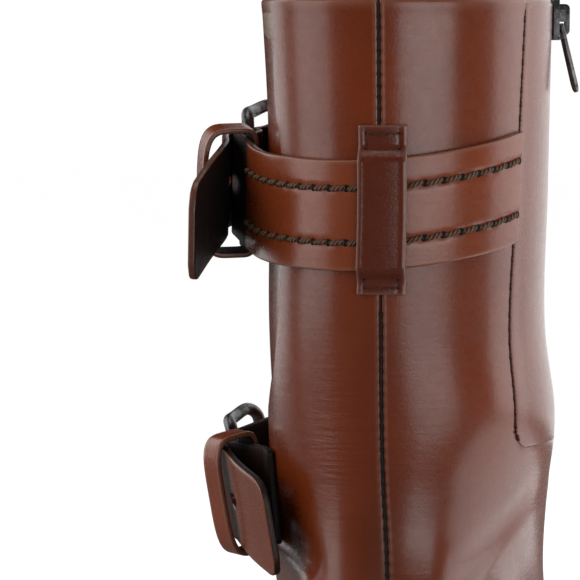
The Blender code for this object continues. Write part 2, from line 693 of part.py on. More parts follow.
def make_strap_keeper(name, strap, place, tail):
    """Loop round the carrier and the free tail: flat behind the carrier, bowed out over the tail."""
    beside = tail - place["bar"]
    back = -(beside @ place["forward"])
    out = beside @ place["out"]
    under_loop = np.abs(back - strap["keeper_back"]) < KEEPER_BAND / 2.0 + STRAP_THICK
    inside = BAR_RADIUS - 2.0 * GAP
    outside = np.max(out[under_loop]) + KEEPER_OVER
    half = (outside - inside) / 2.0
    middle = place["bar"] - place["forward"] * strap["keeper_back"] + place["out"] * (inside + half)

    def keeper_place(along, across):
        angle = 2.0 * math.pi * along
        bowed = np.cos(angle) > 0.0
        power = np.where(bowed, KEEPER_BOW, KEEPER_FLAT)
        side = np.sign(np.cos(angle)) * np.abs(np.cos(angle)) ** power
        side = side * half / np.where(bowed, KEEPER_ROOM, 1.0)
        rise = np.sign(np.sin(angle)) * np.abs(np.sin(angle)) ** power * strap["keeper_half"]
        ring = place["out"] * side[:, None] + place["up"] * rise[:, None]
        return middle + ring + place["forward"] * ((across - 0.5) * KEEPER_BAND)[:, None]
    sheet = grid_mesh(name + "_strap_keeper", 32, 1, keeper_place)
    keeper = add_object(name + "_strap_keeper", sheet, STRAP_LEATHER)
    solidify(keeper, KEEPER_THICK, 1.0)


def make_back_keeper():
    line = np.array(BACK_KEEPER_LINE)
    turn_half = BACK_KEEPER_HALF / 2.0 / math.pi / HALF_BALL
    over_strap = GAP + STRAP_THICK + 2.0 * GAP

    def place(along, across):
        level = line[np.rint(across * (len(line) - 1)).astype(int)]
        stand = GAP + over_strap * level[:, 1]
        return on_shaft((along - 0.5) * 2.0 * turn_half, level[:, 0], stand)
    keeper = add_object("back_keeper", grid_mesh("back_keeper", 6, len(line) - 1, place), KEEPER_LEATHER)
    solidify(keeper, BACK_KEEPER_THICK, 1.0)


def turn_at(turns, height):
    """Turn of a placket line, which leans back toward its foot."""
    share = (height - PLACKET_FOOT) / (PLACKET_TOP - PLACKET_FOOT)
    return turns[0] + (turns[1] - turns[0]) * share


def shaft_turns(length):
    """Share of a turn that a length takes on the side of the shaft."""
    return length / (2.0 * math.pi * LAST_LENGTH * (RINGS[-1][2] - RINGS[-1][0]) / 2.0)


def make_zip():
    def placket_place(along, across):
        height = PLACKET_FOOT + (PLACKET_TOP - PLACKET_FOOT) * across ** PLACKET_CROWD
        below = np.clip((PLACKET_FOOT + PLACKET_ROUND - height) / PLACKET_ROUND, 0.0, 1.0)
        corner = shaft_turns(PLACKET_ROUND * (1.0 - np.sqrt(1.0 - below * below)))
        back = turn_at(PLACKET_BACK_TURNS, height) + corner
        front = turn_at(PLACKET_FRONT_TURNS, height) - corner
        turn = back + (front - back) * along
        return on_shaft(turn, height, np.full(len(turn), GAP))
    placket = add_object("zip_placket", grid_mesh("zip_placket", 10, 14, placket_place), LEATHER)
    solidify(placket, PLACKET_THICK, 1.0)

    def strip_place(foot, head, half, stand):
        def place(along, across):
            height = foot + (head - foot) * across
            turn = turn_at(ZIP_TURNS, height) + shaft_turns(half * (2.0 * along - 1.0))
            return on_shaft(turn, height, np.full(len(turn), stand))
        return place
    slot_place = strip_place(ZIP_FOOT - GAP, PLACKET_TOP + WALL, ZIP_HALF + GAP, -PLACKET_THICK)
    slot = add_cutter("zip_slot", grid_mesh("zip_slot", 1, 10, slot_place))
    solidify(slot, 4.0 * PLACKET_THICK, 1.0)
    cut(placket, slot)

    chain_sheet = grid_mesh("zip_chain", 1, 14, strip_place(ZIP_FOOT, ZIP_HEAD, ZIP_HALF, GAP))
    solidify(add_object("zip_chain", chain_sheet, ZIP_METAL), ZIP_THICK, 1.0)

    turn = turn_at(ZIP_TURNS, SLIDER_LEVEL)
    seat = on_shaft(turn, SLIDER_LEVEL, np.array(0.0))
    out = outward(turn, rise_at(turn, SLIDER_LEVEL))
    along = unit(np.cross((0.0, 0.0, 1.0), out))
    up = np.cross(out, along)
    axes = (out, along, up)

    def block(name, out_range, half_along, up_range):
        size = (out_range[1] - out_range[0], 2.0 * half_along, up_range[1] - up_range[0])
        middle = seat + out * sum(out_range) / 2.0 + up * sum(up_range) / 2.0
        return box_mesh(name, size, axes, middle)
    base = GAP + PLACKET_THICK + GAP
    face = base + SLIDER_THICK
    arch = face + BRIDGE_ROOM
    foot = face - JOIN_DEPTH
    slider = add_object("zip_slider", block("zip_slider", (base, face), SLIDER_HALF, SLIDER_ENDS), ZIP_METAL)
    bridge = block("slider_bridge", (foot, arch + BRIDGE_THICK), BRIDGE_HALF, BRIDGE_ENDS)
    cut(slider, add_cutter("slider_bridge", bridge), "UNION")
    nose = block("slider_nose", (foot, face + NOSE_RISE), NOSE_HALF, NOSE_ENDS)
    cut(slider, add_cutter("slider_nose", nose), "UNION")
    cut(slider, add_cutter("slider_eye", block("slider_eye", (face - EYE_SINK, arch), EYE_HALF, BRIDGE_EYE)))

    hinge = seat + out * (face + arch) / 2.0 + up * PIVOT_LEVEL
    tilt = math.radians(PULL_TILT)
    hang = -up * math.cos(tilt) + out * math.sin(tilt)
    normal = np.cross(along, hang)
    outline = [(-PULL_NECK, -PULL_EYE_TOP), (PULL_NECK, -PULL_EYE_TOP), (PULL_NECK, PULL_EYE_FOOT)]
    for turned in np.linspace(0.0, 180.0, 9):
        swing = math.radians(turned)
        outline.append((PULL_HALF * math.cos(swing), PULL_LENGTH - PULL_HALF + PULL_HALF * math.sin(swing)))
    outline.append((-PULL_NECK, PULL_EYE_FOOT))
    eye = [(-PULL_EYE_HALF, PULL_EYE_TOP), (PULL_EYE_HALF, PULL_EYE_TOP),
           (PULL_EYE_HALF, PULL_EYE_FOOT), (-PULL_EYE_HALF, PULL_EYE_FOOT)]
    curve = bpy.data.curves.new("zip_pull_tab", "CURVE")
    curve.dimensions = "2D"
    curve.fill_mode = "BOTH"
    curve.extrude = PULL_THICK / 2.0 * MM
    for ring in (outline, eye):
        spline = curve.splines.new("POLY")
        spline.points.add(len(ring) - 1)
        for knot, (side, down) in zip(spline.points, ring):
            knot.co = (side * MM, down * MM, 0.0, 1.0)
        spline.use_cyclic_u = True
    drawn = bpy.data.objects.new("zip_pull_tab_outline", curve)
    CUTTERS.objects.link(drawn)
    mesh = bpy.data.meshes.new_from_object(drawn.evaluated_get(bpy.context.evaluated_depsgraph_get()))
    bpy.data.objects.remove(drawn)
    bm = bmesh.new()
    bm.from_mesh(mesh)
    bmesh.ops.remove_doubles(bm, verts=bm.verts, dist=WELD)
    turned = Matrix((along, hang, normal)).transposed()
    bmesh.ops.transform(bm, matrix=turned.to_4x4(), verts=bm.verts)
    bmesh.ops.recalc_face_normals(bm, faces=bm.faces)
    bm.to_mesh(mesh)
    bm.free()
    mesh.materials.clear()
    add_object("zip_pull_tab", mesh, ZIP_METAL, hinge * MM)


clear_scene()
PARTS = make_collection("strapped_boot")
CUTTERS = make_collection("cutters")
make_upper()
make_sole()
make_zip()
make_back_keeper()
for strap_name, strap_sizes in STRAPS.items():
    make_strap_pair(strap_name, strap_sizes)
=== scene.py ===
# %% [markdown]
# # A strapped leather boot, seen from behind
# The frame holds the boot's solids: upper, sole, straps, buckles and zip. This lesson dresses them. Each
# step makes one piece or one finish in the boot's own sizes, so a change of size is a change of a number.

# %% Load the frame
import math

import bmesh
import bpy
import numpy as np
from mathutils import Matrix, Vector


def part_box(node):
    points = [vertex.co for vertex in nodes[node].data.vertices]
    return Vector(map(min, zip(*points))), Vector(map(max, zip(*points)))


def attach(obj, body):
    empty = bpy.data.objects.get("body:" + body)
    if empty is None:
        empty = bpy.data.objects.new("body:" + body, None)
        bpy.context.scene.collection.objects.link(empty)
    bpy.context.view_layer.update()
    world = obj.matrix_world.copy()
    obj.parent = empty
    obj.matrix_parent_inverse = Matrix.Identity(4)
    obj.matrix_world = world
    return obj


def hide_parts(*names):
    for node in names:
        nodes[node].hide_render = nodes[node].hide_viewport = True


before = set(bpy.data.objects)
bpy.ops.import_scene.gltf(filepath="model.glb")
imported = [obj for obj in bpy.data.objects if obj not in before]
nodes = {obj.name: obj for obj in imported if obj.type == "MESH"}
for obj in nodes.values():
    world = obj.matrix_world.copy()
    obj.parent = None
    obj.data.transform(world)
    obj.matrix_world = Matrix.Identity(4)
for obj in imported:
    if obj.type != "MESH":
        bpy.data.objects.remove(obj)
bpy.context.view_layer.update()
MM = 0.001
print("solids in the frame:", len(nodes))

# %% [markdown]
# ## Camera
# The boot is looked at from behind and a little from its inner side, from about collar height. A long lens
# keeps the shaft's sides nearly upright. The frame ends above the foot, so the camera aims beside the shaft.

# %% Camera
CAMERA_TURN = math.radians(9.0)
CAMERA_TILT = math.radians(4.0)
CAMERA_AWAY = 1.28
FRAME_WIDTH = 0.1946
AIM_ASIDE = 0.0383              # how far left of the shaft's middle the camera aims
SHAFT_MIDDLE = Vector((0.0, 0.015, 0.1877))
rightward = Vector((math.cos(CAMERA_TURN), math.sin(CAMERA_TURN), 0.0))
levelward = Vector((-math.sin(CAMERA_TURN), math.cos(CAMERA_TURN), 0.0))
lookward = levelward * math.cos(CAMERA_TILT) - Vector((0.0, 0.0, math.sin(CAMERA_TILT)))
aim = SHAFT_MIDDLE - rightward * AIM_ASIDE
camera_lens = bpy.data.cameras.new("camera")
camera = bpy.data.objects.new("camera", camera_lens)
bpy.context.scene.collection.objects.link(camera)
camera_lens.lens = camera_lens.sensor_width * CAMERA_AWAY / FRAME_WIDTH
camera.location = aim - lookward * CAMERA_AWAY
camera.rotation_mode = "QUATERNION"
camera.rotation_quaternion = lookward.to_track_quat("-Z", "Y")
bpy.context.scene.camera = camera
print("lens", round(camera_lens.lens), "mm")

# %% [markdown]
# ## Studio
# Polished leather shows its lights as upright bands of sheen. Soft panels stand round the boot: one at the
# left, one by the camera, and pale walls at the right and behind. What lies between them stays dark, and that
# makes the bands. A fill at the left lights the leather but isn't mirrored in it, one panel hangs overhead,
# and two cards on the floor throw light up. The camera itself sees a plain white room, and a pale floor that
# glows for it alone.


# %% Lights and floor
CARD_ANGLE = math.radians(24.0)
CARD_AWAY = 0.95
CARD_LEVEL = 0.004
ROOM_LIGHT = 0.20
ROOM_MIRRORED = 0.015
ROOM_SEEN = 1.05
FLOOR_SHADE = (0.14, 0.14, 0.14, 1.0)
FLOOR_GLOW = 0.97


def from_shaft(angle, away):
    """Place at a distance from the shaft, at an angle from the camera's side, to the right if positive."""
    return SHAFT_MIDDLE + (rightward * math.sin(angle) - levelward * math.cos(angle)) * away


def add_panel(name, angle, away, height, size, power, mirrored=True):
    """A soft panel that faces the shaft, at an angle in degrees, with a size in metres and power in watts."""
    light = bpy.data.lights.new(name, "AREA")
    light.shape = "RECTANGLE"
    light.size, light.size_y = size
    light.energy = power
    place = from_shaft(math.radians(angle), away)
    panel = bpy.data.objects.new(name, light)
    panel.location = (place.x, place.y, height)
    panel.rotation_mode = "QUATERNION"
    panel.rotation_quaternion = (SHAFT_MIDDLE - panel.location).to_track_quat("-Z", "Y")
    panel.visible_camera = False
    panel.visible_glossy = mirrored
    bpy.context.scene.collection.objects.link(panel)


add_panel("left_panel", -86.0, 0.95, 0.36, (0.65, 1.0), 3.0)
add_panel("camera_panel", 24.0, 1.40, 0.20, (1.25, 0.42), 4.0)
add_panel("right_wall", 100.0, 0.95, 0.36, (0.69, 1.3), 5.0)
add_panel("far_wall", 150.0, 0.95, 0.36, (1.10, 1.3), 4.6)
add_panel("back_wall", -133.0, 1.10, 0.36, (0.55, 1.3), 2.8)
add_panel("left_fill", -56.0, 1.10, 0.62, (0.60, 0.8), 2.6, mirrored=False)


def add_level_panel(name, place, size, power, turned):
    """A level panel, shining down, or up if turned over."""
    light = bpy.data.lights.new(name, "AREA")
    light.size = size
    light.energy = power
    panel = bpy.data.objects.new(name, light)
    panel.location = place
    panel.rotation_euler = (turned, 0.0, 0.0)
    panel.visible_camera = False
    bpy.context.scene.collection.objects.link(panel)


add_level_panel("overhead", (0.0, 0.05, 1.5), 0.9, 3.6, 0.0)
add_level_panel("floor_card", (0.44, 0.13, CARD_LEVEL), 0.55, 1.15, math.pi)
front_card = from_shaft(CARD_ANGLE, CARD_AWAY)
add_level_panel("front_card", (front_card.x, front_card.y, CARD_LEVEL), 0.72, 2.2, math.pi)

world = bpy.data.worlds.new("studio")
bpy.context.scene.world = world
world.use_nodes = True
sky = world.node_tree
sky.nodes.clear()


def add_background(strength):
    made = sky.nodes.new("ShaderNodeBackground")
    made.inputs["Color"].default_value = (1.0, 0.99, 0.98, 1.0)
    made.inputs["Strength"].default_value = strength
    return made.outputs[0]


def either_of(choice, first, second):
    """The first shader, or the second where the choice is 1."""
    made = sky.nodes.new("ShaderNodeMixShader")
    for socket, source in zip(made.inputs, (choice, first, second)):
        sky.links.new(source, socket)
    return made.outputs[0]


ray = sky.nodes.new("ShaderNodeLightPath").outputs
room = either_of(ray["Is Glossy Ray"], add_background(ROOM_LIGHT), add_background(ROOM_MIRRORED))
shown = either_of(ray["Is Camera Ray"], room, add_background(ROOM_SEEN))
sky.links.new(shown, sky.nodes.new("ShaderNodeOutputWorld").inputs["Surface"])
bpy.context.scene.view_settings.view_transform = "Standard"

floor_shape = bmesh.new()
bmesh.ops.create_grid(floor_shape, x_segments=1, y_segments=1, size=6.0)
floor_mesh = bpy.data.meshes.new("floor")
floor_shape.to_mesh(floor_mesh)
floor_shape.free()
floor = bpy.data.objects.new("floor", floor_mesh)
bpy.context.scene.collection.objects.link(floor)
floor_finish = bpy.data.materials.new("pale_floor")
floor_finish.use_nodes = True
floor_tree = floor_finish.node_tree
floor_shader = floor_tree.nodes["Principled BSDF"]
floor_shader.inputs["Base Color"].default_value = FLOOR_SHADE
floor_shader.inputs["Roughness"].default_value = 0.8
floor_shader.inputs["Emission Color"].default_value = (1.0, 1.0, 1.0, 1.0)
floor_glow = floor_tree.nodes.new("ShaderNodeMath")
floor_glow.operation = "MULTIPLY"
floor_glow.inputs[1].default_value = FLOOR_GLOW
floor_ray = floor_tree.nodes.new("ShaderNodeLightPath").outputs
floor_tree.links.new(floor_ray["Is Camera Ray"], floor_glow.inputs[0])
floor_tree.links.new(floor_glow.outputs[0], floor_shader.inputs["Emission Strength"])
floor_mesh.materials.append(floor_finish)
print("studio ready")

# %% [markdown]
# ## Finishes
# Leather is a dyed hide with a polish over it. The dye is cloudy, the pores are small pits, the polish is a
# thin coat, and the Seam input darkens toward near-black: dark seams, and painted shade in grooves, folds and
# pockets.
# The group below makes the parts that change over the surface, and every leather uses it with its own
# colours.
# The shader stays in each material.


# %% Node helpers
def add_node(tree, kind, **inputs):
    """A shader node with its inputs set to values or joined to other nodes' outputs."""
    made = tree.nodes.new(kind)
    for name, value in inputs.items():
        socket = made.inputs[name.replace("_", " ")]
        if isinstance(value, bpy.types.NodeSocket):
            tree.links.new(value, socket)
        else:
            socket.default_value = value
    return made


def noise(tree, coords, scale, detail=4.0, roughness=0.55):
    return add_node(tree, "ShaderNodeTexNoise", Vector=coords, Scale=scale, Detail=detail,
                    Roughness=roughness).outputs["Fac"]


def spread(tree, value, low, high, to_low, to_high):
    """Map a value from one range to another and stop at the ends."""
    made = add_node(tree, "ShaderNodeMapRange", Value=value)
    for place, number in enumerate((low, high, to_low, to_high), start=1):
        made.inputs[place].default_value = number
    return made.outputs["Result"]


def reckon(tree, first, second, operation="ADD"):
    """Result of a math node: a sum unless another operation is asked for."""
    made = tree.nodes.new("ShaderNodeMath")
    made.operation = operation
    for socket, value in zip(made.inputs, (first, second)):
        if isinstance(value, bpy.types.NodeSocket):
            tree.links.new(value, socket)
        else:
            socket.default_value = value
    return made.outputs[0]


def mixed(tree, share, first, second):
    """Blend two colours."""
    made = tree.nodes.new("ShaderNodeMix")
    made.data_type = "RGBA"
    for place, value in ((0, share), (6, first), (7, second)):
        if isinstance(value, bpy.types.NodeSocket):
            tree.links.new(value, made.inputs[place])
        else:
            made.inputs[place].default_value = value
    return made.outputs[2]


def attribute(tree, name):
    made = tree.nodes.new("ShaderNodeAttribute")
    made.attribute_name = name
    return made.outputs["Fac"]


def colour(red, green, blue):
    return (red, green, blue, 1.0)


def start_group(name, inputs, outputs):
    """A node group with named colour and value sockets."""
    group = bpy.data.node_groups.new(name, "ShaderNodeTree")
    for way, sockets in (("INPUT", inputs), ("OUTPUT", outputs)):
        for socket, kind in sockets.items():
            group.interface.new_socket(name=socket, in_out=way, socket_type="NodeSocket" + kind)
    return group, group.nodes.new("NodeGroupInput"), group.nodes.new("NodeGroupOutput")


# %% Hide group
CLOUD_SCALE = 28.0
MOTTLE_SCALE = 260.0
GRAIN_SCALE = 1500.0
PORE_SCALE = 900.0
CREASE_SCALE = (60.0, 60.0, 620.0)
GLOSS = (0.24, 0.32)
COAT = 0.55
# near-black that Seam mixes in: dark seams, and painted shade in grooves, folds and shaded pockets
SEAM_AND_SHADOW_TONE = colour(0.006, 0.003, 0.002)
hide, hide_in, hide_out = start_group(
    "dyed_hide",
    {"Dye": "Color", "Deep": "Color", "Worn": "Color", "Seam": "Float", "Wear": "Float", "Crinkle": "Float"},
    {"Colour": "Color", "Roughness": "Float", "Coat": "Float", "Height": "Float"})
hide_place = hide.nodes.new("ShaderNodeTexCoord").outputs["Object"]
cloud = noise(hide, hide_place, CLOUD_SCALE, 5.0, 0.6)
mottle = noise(hide, hide_place, MOTTLE_SCALE, 3.0)
grain = noise(hide, hide_place, GRAIN_SCALE, 2.0)
pores = add_node(hide, "ShaderNodeTexVoronoi", Vector=hide_place, Scale=PORE_SCALE).outputs["Distance"]
flat_way = add_node(hide, "ShaderNodeMapping", Vector=hide_place, Scale=CREASE_SCALE).outputs["Vector"]
creases = add_node(hide, "ShaderNodeTexNoise", Vector=flat_way, Scale=1.0, Detail=3.0).outputs["Fac"]
clouded = spread(hide, cloud, 0.35, 0.68, 0.0, 0.55)
dyed = mixed(hide, clouded, hide_in.outputs["Dye"], hide_in.outputs["Deep"])
dyed = mixed(hide, spread(hide, mottle, 0.45, 0.75, 0.0, 0.14), dyed, hide_in.outputs["Deep"])
dyed = mixed(hide, hide_in.outputs["Wear"], dyed, hide_in.outputs["Worn"])
# Seam darkens toward near-black: dark seams, and painted shade wherever the masks put it
dyed = mixed(hide, hide_in.outputs["Seam"], dyed, SEAM_AND_SHADOW_TONE)
hide.links.new(dyed, hide_out.inputs["Colour"])
gloss = spread(hide, mottle, 0.3, 0.7, *GLOSS)
gloss = reckon(hide, gloss, reckon(hide, hide_in.outputs["Wear"], 0.25, "MULTIPLY"))
hide.links.new(reckon(hide, gloss, reckon(hide, hide_in.outputs["Seam"], 0.4, "MULTIPLY")),
               hide_out.inputs["Roughness"])
hide.links.new(spread(hide, hide_in.outputs["Seam"], 0.0, 0.5, COAT, 0.0), hide_out.inputs["Coat"])
relief = reckon(hide, reckon(hide, grain, 0.25, "MULTIPLY"), reckon(hide, mottle, 0.35, "MULTIPLY"))
relief = reckon(hide, relief, spread(hide, pores, 0.0, 0.35, -0.12, 0.0))
wrinkled = reckon(hide, creases, hide_in.outputs["Crinkle"], "MULTIPLY")
hide.links.new(reckon(hide, relief, wrinkled), hide_out.inputs["Height"])
print("hide group:", len(hide.nodes), "nodes")


# %% Leather finishes
SHADE_WEAR_AND_CRINKLE = ("Seam", "Wear", "Crinkle")


def leather(name, dye, deep, worn, masks=(), relief=0.00035, coat_roughness=0.21, shade_and_matte=0.0):
    """A polished leather: masks name the piece's own attributes that feed Seam, Wear and Crinkle.

    A matte value feeds Seam, so a matte one is dark and unpolished all over; its darkness is partly painted
    shade.
    """
    made = bpy.data.materials.new(name)
    made.use_nodes = True
    tree = made.node_tree
    shader = tree.nodes["Principled BSDF"]
    dressed = tree.nodes.new("ShaderNodeGroup")
    dressed.node_tree = hide
    for socket, shade in (("Dye", dye), ("Deep", deep), ("Worn", worn)):
        dressed.inputs[socket].default_value = colour(*shade)
    dressed.inputs["Seam"].default_value = shade_and_matte
    for socket in masks:
        tree.links.new(attribute(tree, socket.lower()), dressed.inputs[socket])
    bump = add_node(tree, "ShaderNodeBump", Height=dressed.outputs["Height"], Distance=relief, Strength=0.6)
    for socket, source in (("Base Color", "Colour"), ("Roughness", "Roughness"), ("Coat Weight", "Coat")):
        tree.links.new(dressed.outputs[source], shader.inputs[socket])
    tree.links.new(bump.outputs["Normal"], shader.inputs["Normal"])
    shader.inputs["Coat Roughness"].default_value = coat_roughness
    shader.inputs["Coat IOR"].default_value = 1.5
    return made


upper_hide = leather("upper_hide", (0.232, 0.038, 0.007), (0.138, 0.020, 0.003), (0.34, 0.16, 0.10),
                     SHADE_WEAR_AND_CRINKLE)
strap_hide = leather("strap_hide", (0.285, 0.054, 0.013), (0.182, 0.029, 0.006), (0.36, 0.17, 0.10),
                     SHADE_WEAR_AND_CRINKLE)
keeper_hide = leather("keeper_hide", (0.140, 0.024, 0.008), (0.080, 0.013, 0.005), (0.30, 0.14, 0.10),
                      SHADE_WEAR_AND_CRINKLE, 0.0006)
cut_edge = leather("cut_edge", (0.170, 0.058, 0.030), (0.090, 0.028, 0.014), (0.3, 0.2, 0.1), (), 0.0008, 0.5)
# dark edge paint on the ankle strap, darkened further as painted shade
dark_edge_and_shade = leather("dark_edge_and_shade", (0.045, 0.018, 0.011), (0.022, 0.009, 0.006), (0.3, 0.2, 0.1), (),
                    0.0008, 0.5, 0.4)
# the flesh side's own dark brown, darkened to near-black as painted shade; it also paints the buckle tab's
# edges in shade
shaded_flesh_side = leather("shaded_flesh_side", (0.012, 0.009, 0.008), (0.006, 0.005, 0.005), (0.03, 0.02, 0.02), (),
                     0.0005, 0.6, 0.8)
lining_hide = leather("lining_hide", (0.300, 0.165, 0.090), (0.210, 0.105, 0.052), (0.3, 0.2, 0.1), (),
                      0.0004, 0.5)


# %% [markdown]
# Thread is a twisted cord. Its colour is pale on the strands and dark between them: painted light and shade,
# placed by the attribute that each stitch carries. Metal is antiqued: noise mixes dark patches with rubbed
# brighter ones.


# %% Thread, metal and sole finishes
PLAIN_RELIEF = 0.0003


def plain_finish(name, pale, dark, scale, roughness, metallic=0.0, mask=None, bands=0.0):
    """A finish of two shades, mixed by noise, by bands of height or by one of the piece's attributes."""
    made = bpy.data.materials.new(name)
    made.use_nodes = True
    tree = made.node_tree
    shader = tree.nodes["Principled BSDF"]
    place = tree.nodes.new("ShaderNodeTexCoord").outputs["Object"]
    grain_of_it = noise(tree, place, scale, 5.0, 0.6)
    share = spread(tree, grain_of_it, 0.35, 0.65, 0.0, 1.0)
    if mask:
        # the mask paints light on the thread's strands and shade between them
        lit_strands = spread(tree, attribute(tree, mask), -0.6, 0.9, 0.0, 1.0)
        share = reckon(tree, lit_strands, spread(tree, grain_of_it, 0.35, 0.65, 0.6, 1.0), "MULTIPLY")
    if bands:
        height = tree.nodes.new("ShaderNodeSeparateXYZ")
        tree.links.new(place, height.inputs[0])
        lines = reckon(tree, reckon(tree, height.outputs["Z"], bands, "MULTIPLY"), 1.0, "FRACT")
        share = reckon(tree, spread(tree, lines, 0.0, 0.16, 0.0, 1.0), share, "MULTIPLY")
    tree.links.new(mixed(tree, share, colour(*dark), colour(*pale)), shader.inputs["Base Color"])
    tree.links.new(spread(tree, grain_of_it, 0.3, 0.7, *roughness), shader.inputs["Roughness"])
    bump = add_node(tree, "ShaderNodeBump", Height=share, Distance=PLAIN_RELIEF, Strength=0.5)
    tree.links.new(bump.outputs["Normal"], shader.inputs["Normal"])
    shader.inputs["Metallic"].default_value = metallic
    return made


cord_thread = plain_finish("cord_thread", (0.270, 0.140, 0.072), (0.030, 0.014, 0.008), 900.0, (0.55, 0.75),
                           mask="strand_shading")
seam_thread = plain_finish("seam_thread", (0.018, 0.008, 0.006), (0.004, 0.003, 0.002), 900.0, (0.5, 0.7),
                           mask="strand_shading")
guard_thread = plain_finish("guard_thread", (0.120, 0.034, 0.015), (0.045, 0.014, 0.007), 900.0, (0.45, 0.65),
                            mask="strand_shading")
# near-black drops that paint the shade in stitch holes and notches
hole_shade = plain_finish("hole_shade", (0.010, 0.005, 0.004), (0.004, 0.002, 0.002), 800.0, (0.8, 0.9))
buckle_metal = plain_finish("antiqued_nickel", (0.30, 0.30, 0.30), (0.07, 0.07, 0.07), 180.0, (0.28, 0.48),
                            1.0)
zip_metal = plain_finish("gunmetal", (0.13, 0.13, 0.135), (0.045, 0.045, 0.047), 220.0, (0.26, 0.42), 1.0)
tab_metal = plain_finish("rubbed_gunmetal", (0.34, 0.34, 0.34), (0.14, 0.14, 0.14), 220.0, (0.3, 0.45), 1.0)
zip_tape = plain_finish("zip_tape", (0.040, 0.026, 0.020), (0.018, 0.012, 0.010), 1600.0, (0.8, 0.9))
stacked_leather = plain_finish("stacked_leather", (0.095, 0.040, 0.022), (0.024, 0.011, 0.008), 90.0,
                               (0.4, 0.6), bands=250.0)
welt_leather = plain_finish("welt_leather", (0.095, 0.042, 0.024), (0.048, 0.020, 0.012), 120.0, (0.4, 0.6))
sole_rubber = plain_finish("sole_rubber", (0.030, 0.025, 0.022), (0.014, 0.012, 0.011), 350.0, (0.65, 0.85))
print("finishes:", len(bpy.data.materials))

# %% [markdown]
# ## The boot's own form
# The upper is drawn over a last. Rings from the sole to the collar give its length, width and height, and a
# smooth curve through them gives any point. The same rings made the solids, so pieces placed on this form
# lie where the solids lie. A turn goes round the boot from the back seam by the inner side, and a rise goes
# from the sole's edge at 0 to the collar at 1.

# %% Sizes of the last
LAST_LENGTH = 264.0
HEEL_BACK = -34.0
HALF_BALL = 48.0
BOOT_HEIGHT = 285.0
WALL = 2.2
GAP = 0.3
WELT_THICK = 3.2
OUTSOLE_THICK = 5.8
BALL_LEVEL = GAP + WELT_THICK + GAP + OUTSOLE_THICK
HEEL_SEAT = 36.0
SEAT_FRONT = 22.0
BALL_BACK = 112.0
BALL_FRONT = 160.0
TOE_SPRING = 8.4
RING_COLUMNS = ("back", "back_height", "front", "front_height",
                "heel", "waist", "joint", "toe", "follow", "bend", "fullness", "shift")
RINGS = np.array((
    (0.000, 0.1263, 1.000, 0.0632, 0.80, 0.68, 1.01, 0.80, 1.00, 1.00, 0.55, 0.00),
    (-0.017, 0.179, 1.015, 0.105, 0.85, 0.76, 1.04, 0.82, 0.90, 1.00, 0.55, 0.00),
    (-0.023, 0.225, 0.996, 0.149, 0.86, 0.81, 1.03, 0.79, 0.72, 0.95, 0.56, 0.00),
    (-0.019, 0.268, 0.917, 0.186, 0.83, 0.85, 1.00, 0.79, 0.50, 0.85, 0.58, 0.00),
    (-0.009, 0.310, 0.776, 0.212, 0.80, 0.90, 0.98, 0.83, 0.30, 0.65, 0.60, -0.01),
    (0.002, 0.351, 0.652, 0.249, 0.79, 0.91, 0.95, 0.85, 0.15, 0.40, 0.66, -0.02),
    (0.008, 0.391, 0.553, 0.307, 0.81, 0.93, 0.95, 0.87, 0.05, 0.20, 0.74, -0.02),
    (0.008, 0.435, 0.496, 0.379, 0.88, 0.96, 0.96, 0.90, 0.00, 0.08, 0.84, -0.005),
    (0.002, 0.502, 0.460, 0.481, 0.98, 1.00, 1.00, 0.96, 0.00, 0.00, 0.93, 0.02),
    (-0.008, 0.614, 0.436, 0.611, 0.97, 0.97, 0.97, 0.97, 0.00, 0.00, 0.98, -0.015),
    (-0.021, 0.779, 0.421, 0.779, 0.972, 0.972, 0.972, 0.972, 0.00, 0.00, 1.00, 0.006),
    (-0.036, 1.000, 0.409, 1.000, 1.01, 1.01, 1.01, 1.01, 0.00, 0.00, 1.00, 0.00),
))
STATIONS = (0.0, 0.13, 0.41, 0.68, 0.89, 1.0)
FOOT_CURVE = (0.0, 0.0, -4.5, -3.0, 6.0, 7.0)


# %% Form functions
def smooth_curve(at, knots, values):
    """Cubic curve through the values at the knots, read at the places asked for."""
    at = np.asarray(at, float)
    knots = np.asarray(knots, float)
    values = np.asarray(values, float)
    slopes = np.gradient(values, knots, axis=0)
    held = np.clip(at, knots[0], knots[-1])
    first = np.clip(np.searchsorted(knots, held, side="right") - 1, 0, len(knots) - 2)
    span = knots[first + 1] - knots[first]
    part = (held - knots[first]) / span
    if values.ndim > 1:
        part = part[..., None]
        span = span[..., None]
    square = part * part
    cube = square * part
    start = (2 * cube - 3 * square + 1) * values[first] + (cube - 2 * square + part) * span * slopes[first]
    end = (3 * square - 2 * cube) * values[first + 1] + (cube - square) * span * slopes[first + 1]
    return start + end


def unit(vectors):
    vectors = np.asarray(vectors, float)
    return vectors / np.linalg.norm(vectors, axis=-1, keepdims=True)


def bell(distance, width):
    """Soft hump of height one."""
    return np.exp(-(distance / width) ** 2)


def ease(value):
    """Soft step from 0 to 1."""
    held = np.clip(value, 0.0, 1.0)
    return held * held * (3.0 - 2.0 * held)


def step_up(value, start, run):
    """Soft step from 0 at the start to 1 a run further."""
    return ease((value - start) / run)


def step_down(value, end, run):
    """Soft step from 1 to 0, which it reaches at the end after a run."""
    return ease((end - value) / run)


def ways_of(points):
    """Distance along a line of points."""
    return np.concatenate(([0.0], np.cumsum(np.linalg.norm(np.diff(points, axis=0), axis=1))))


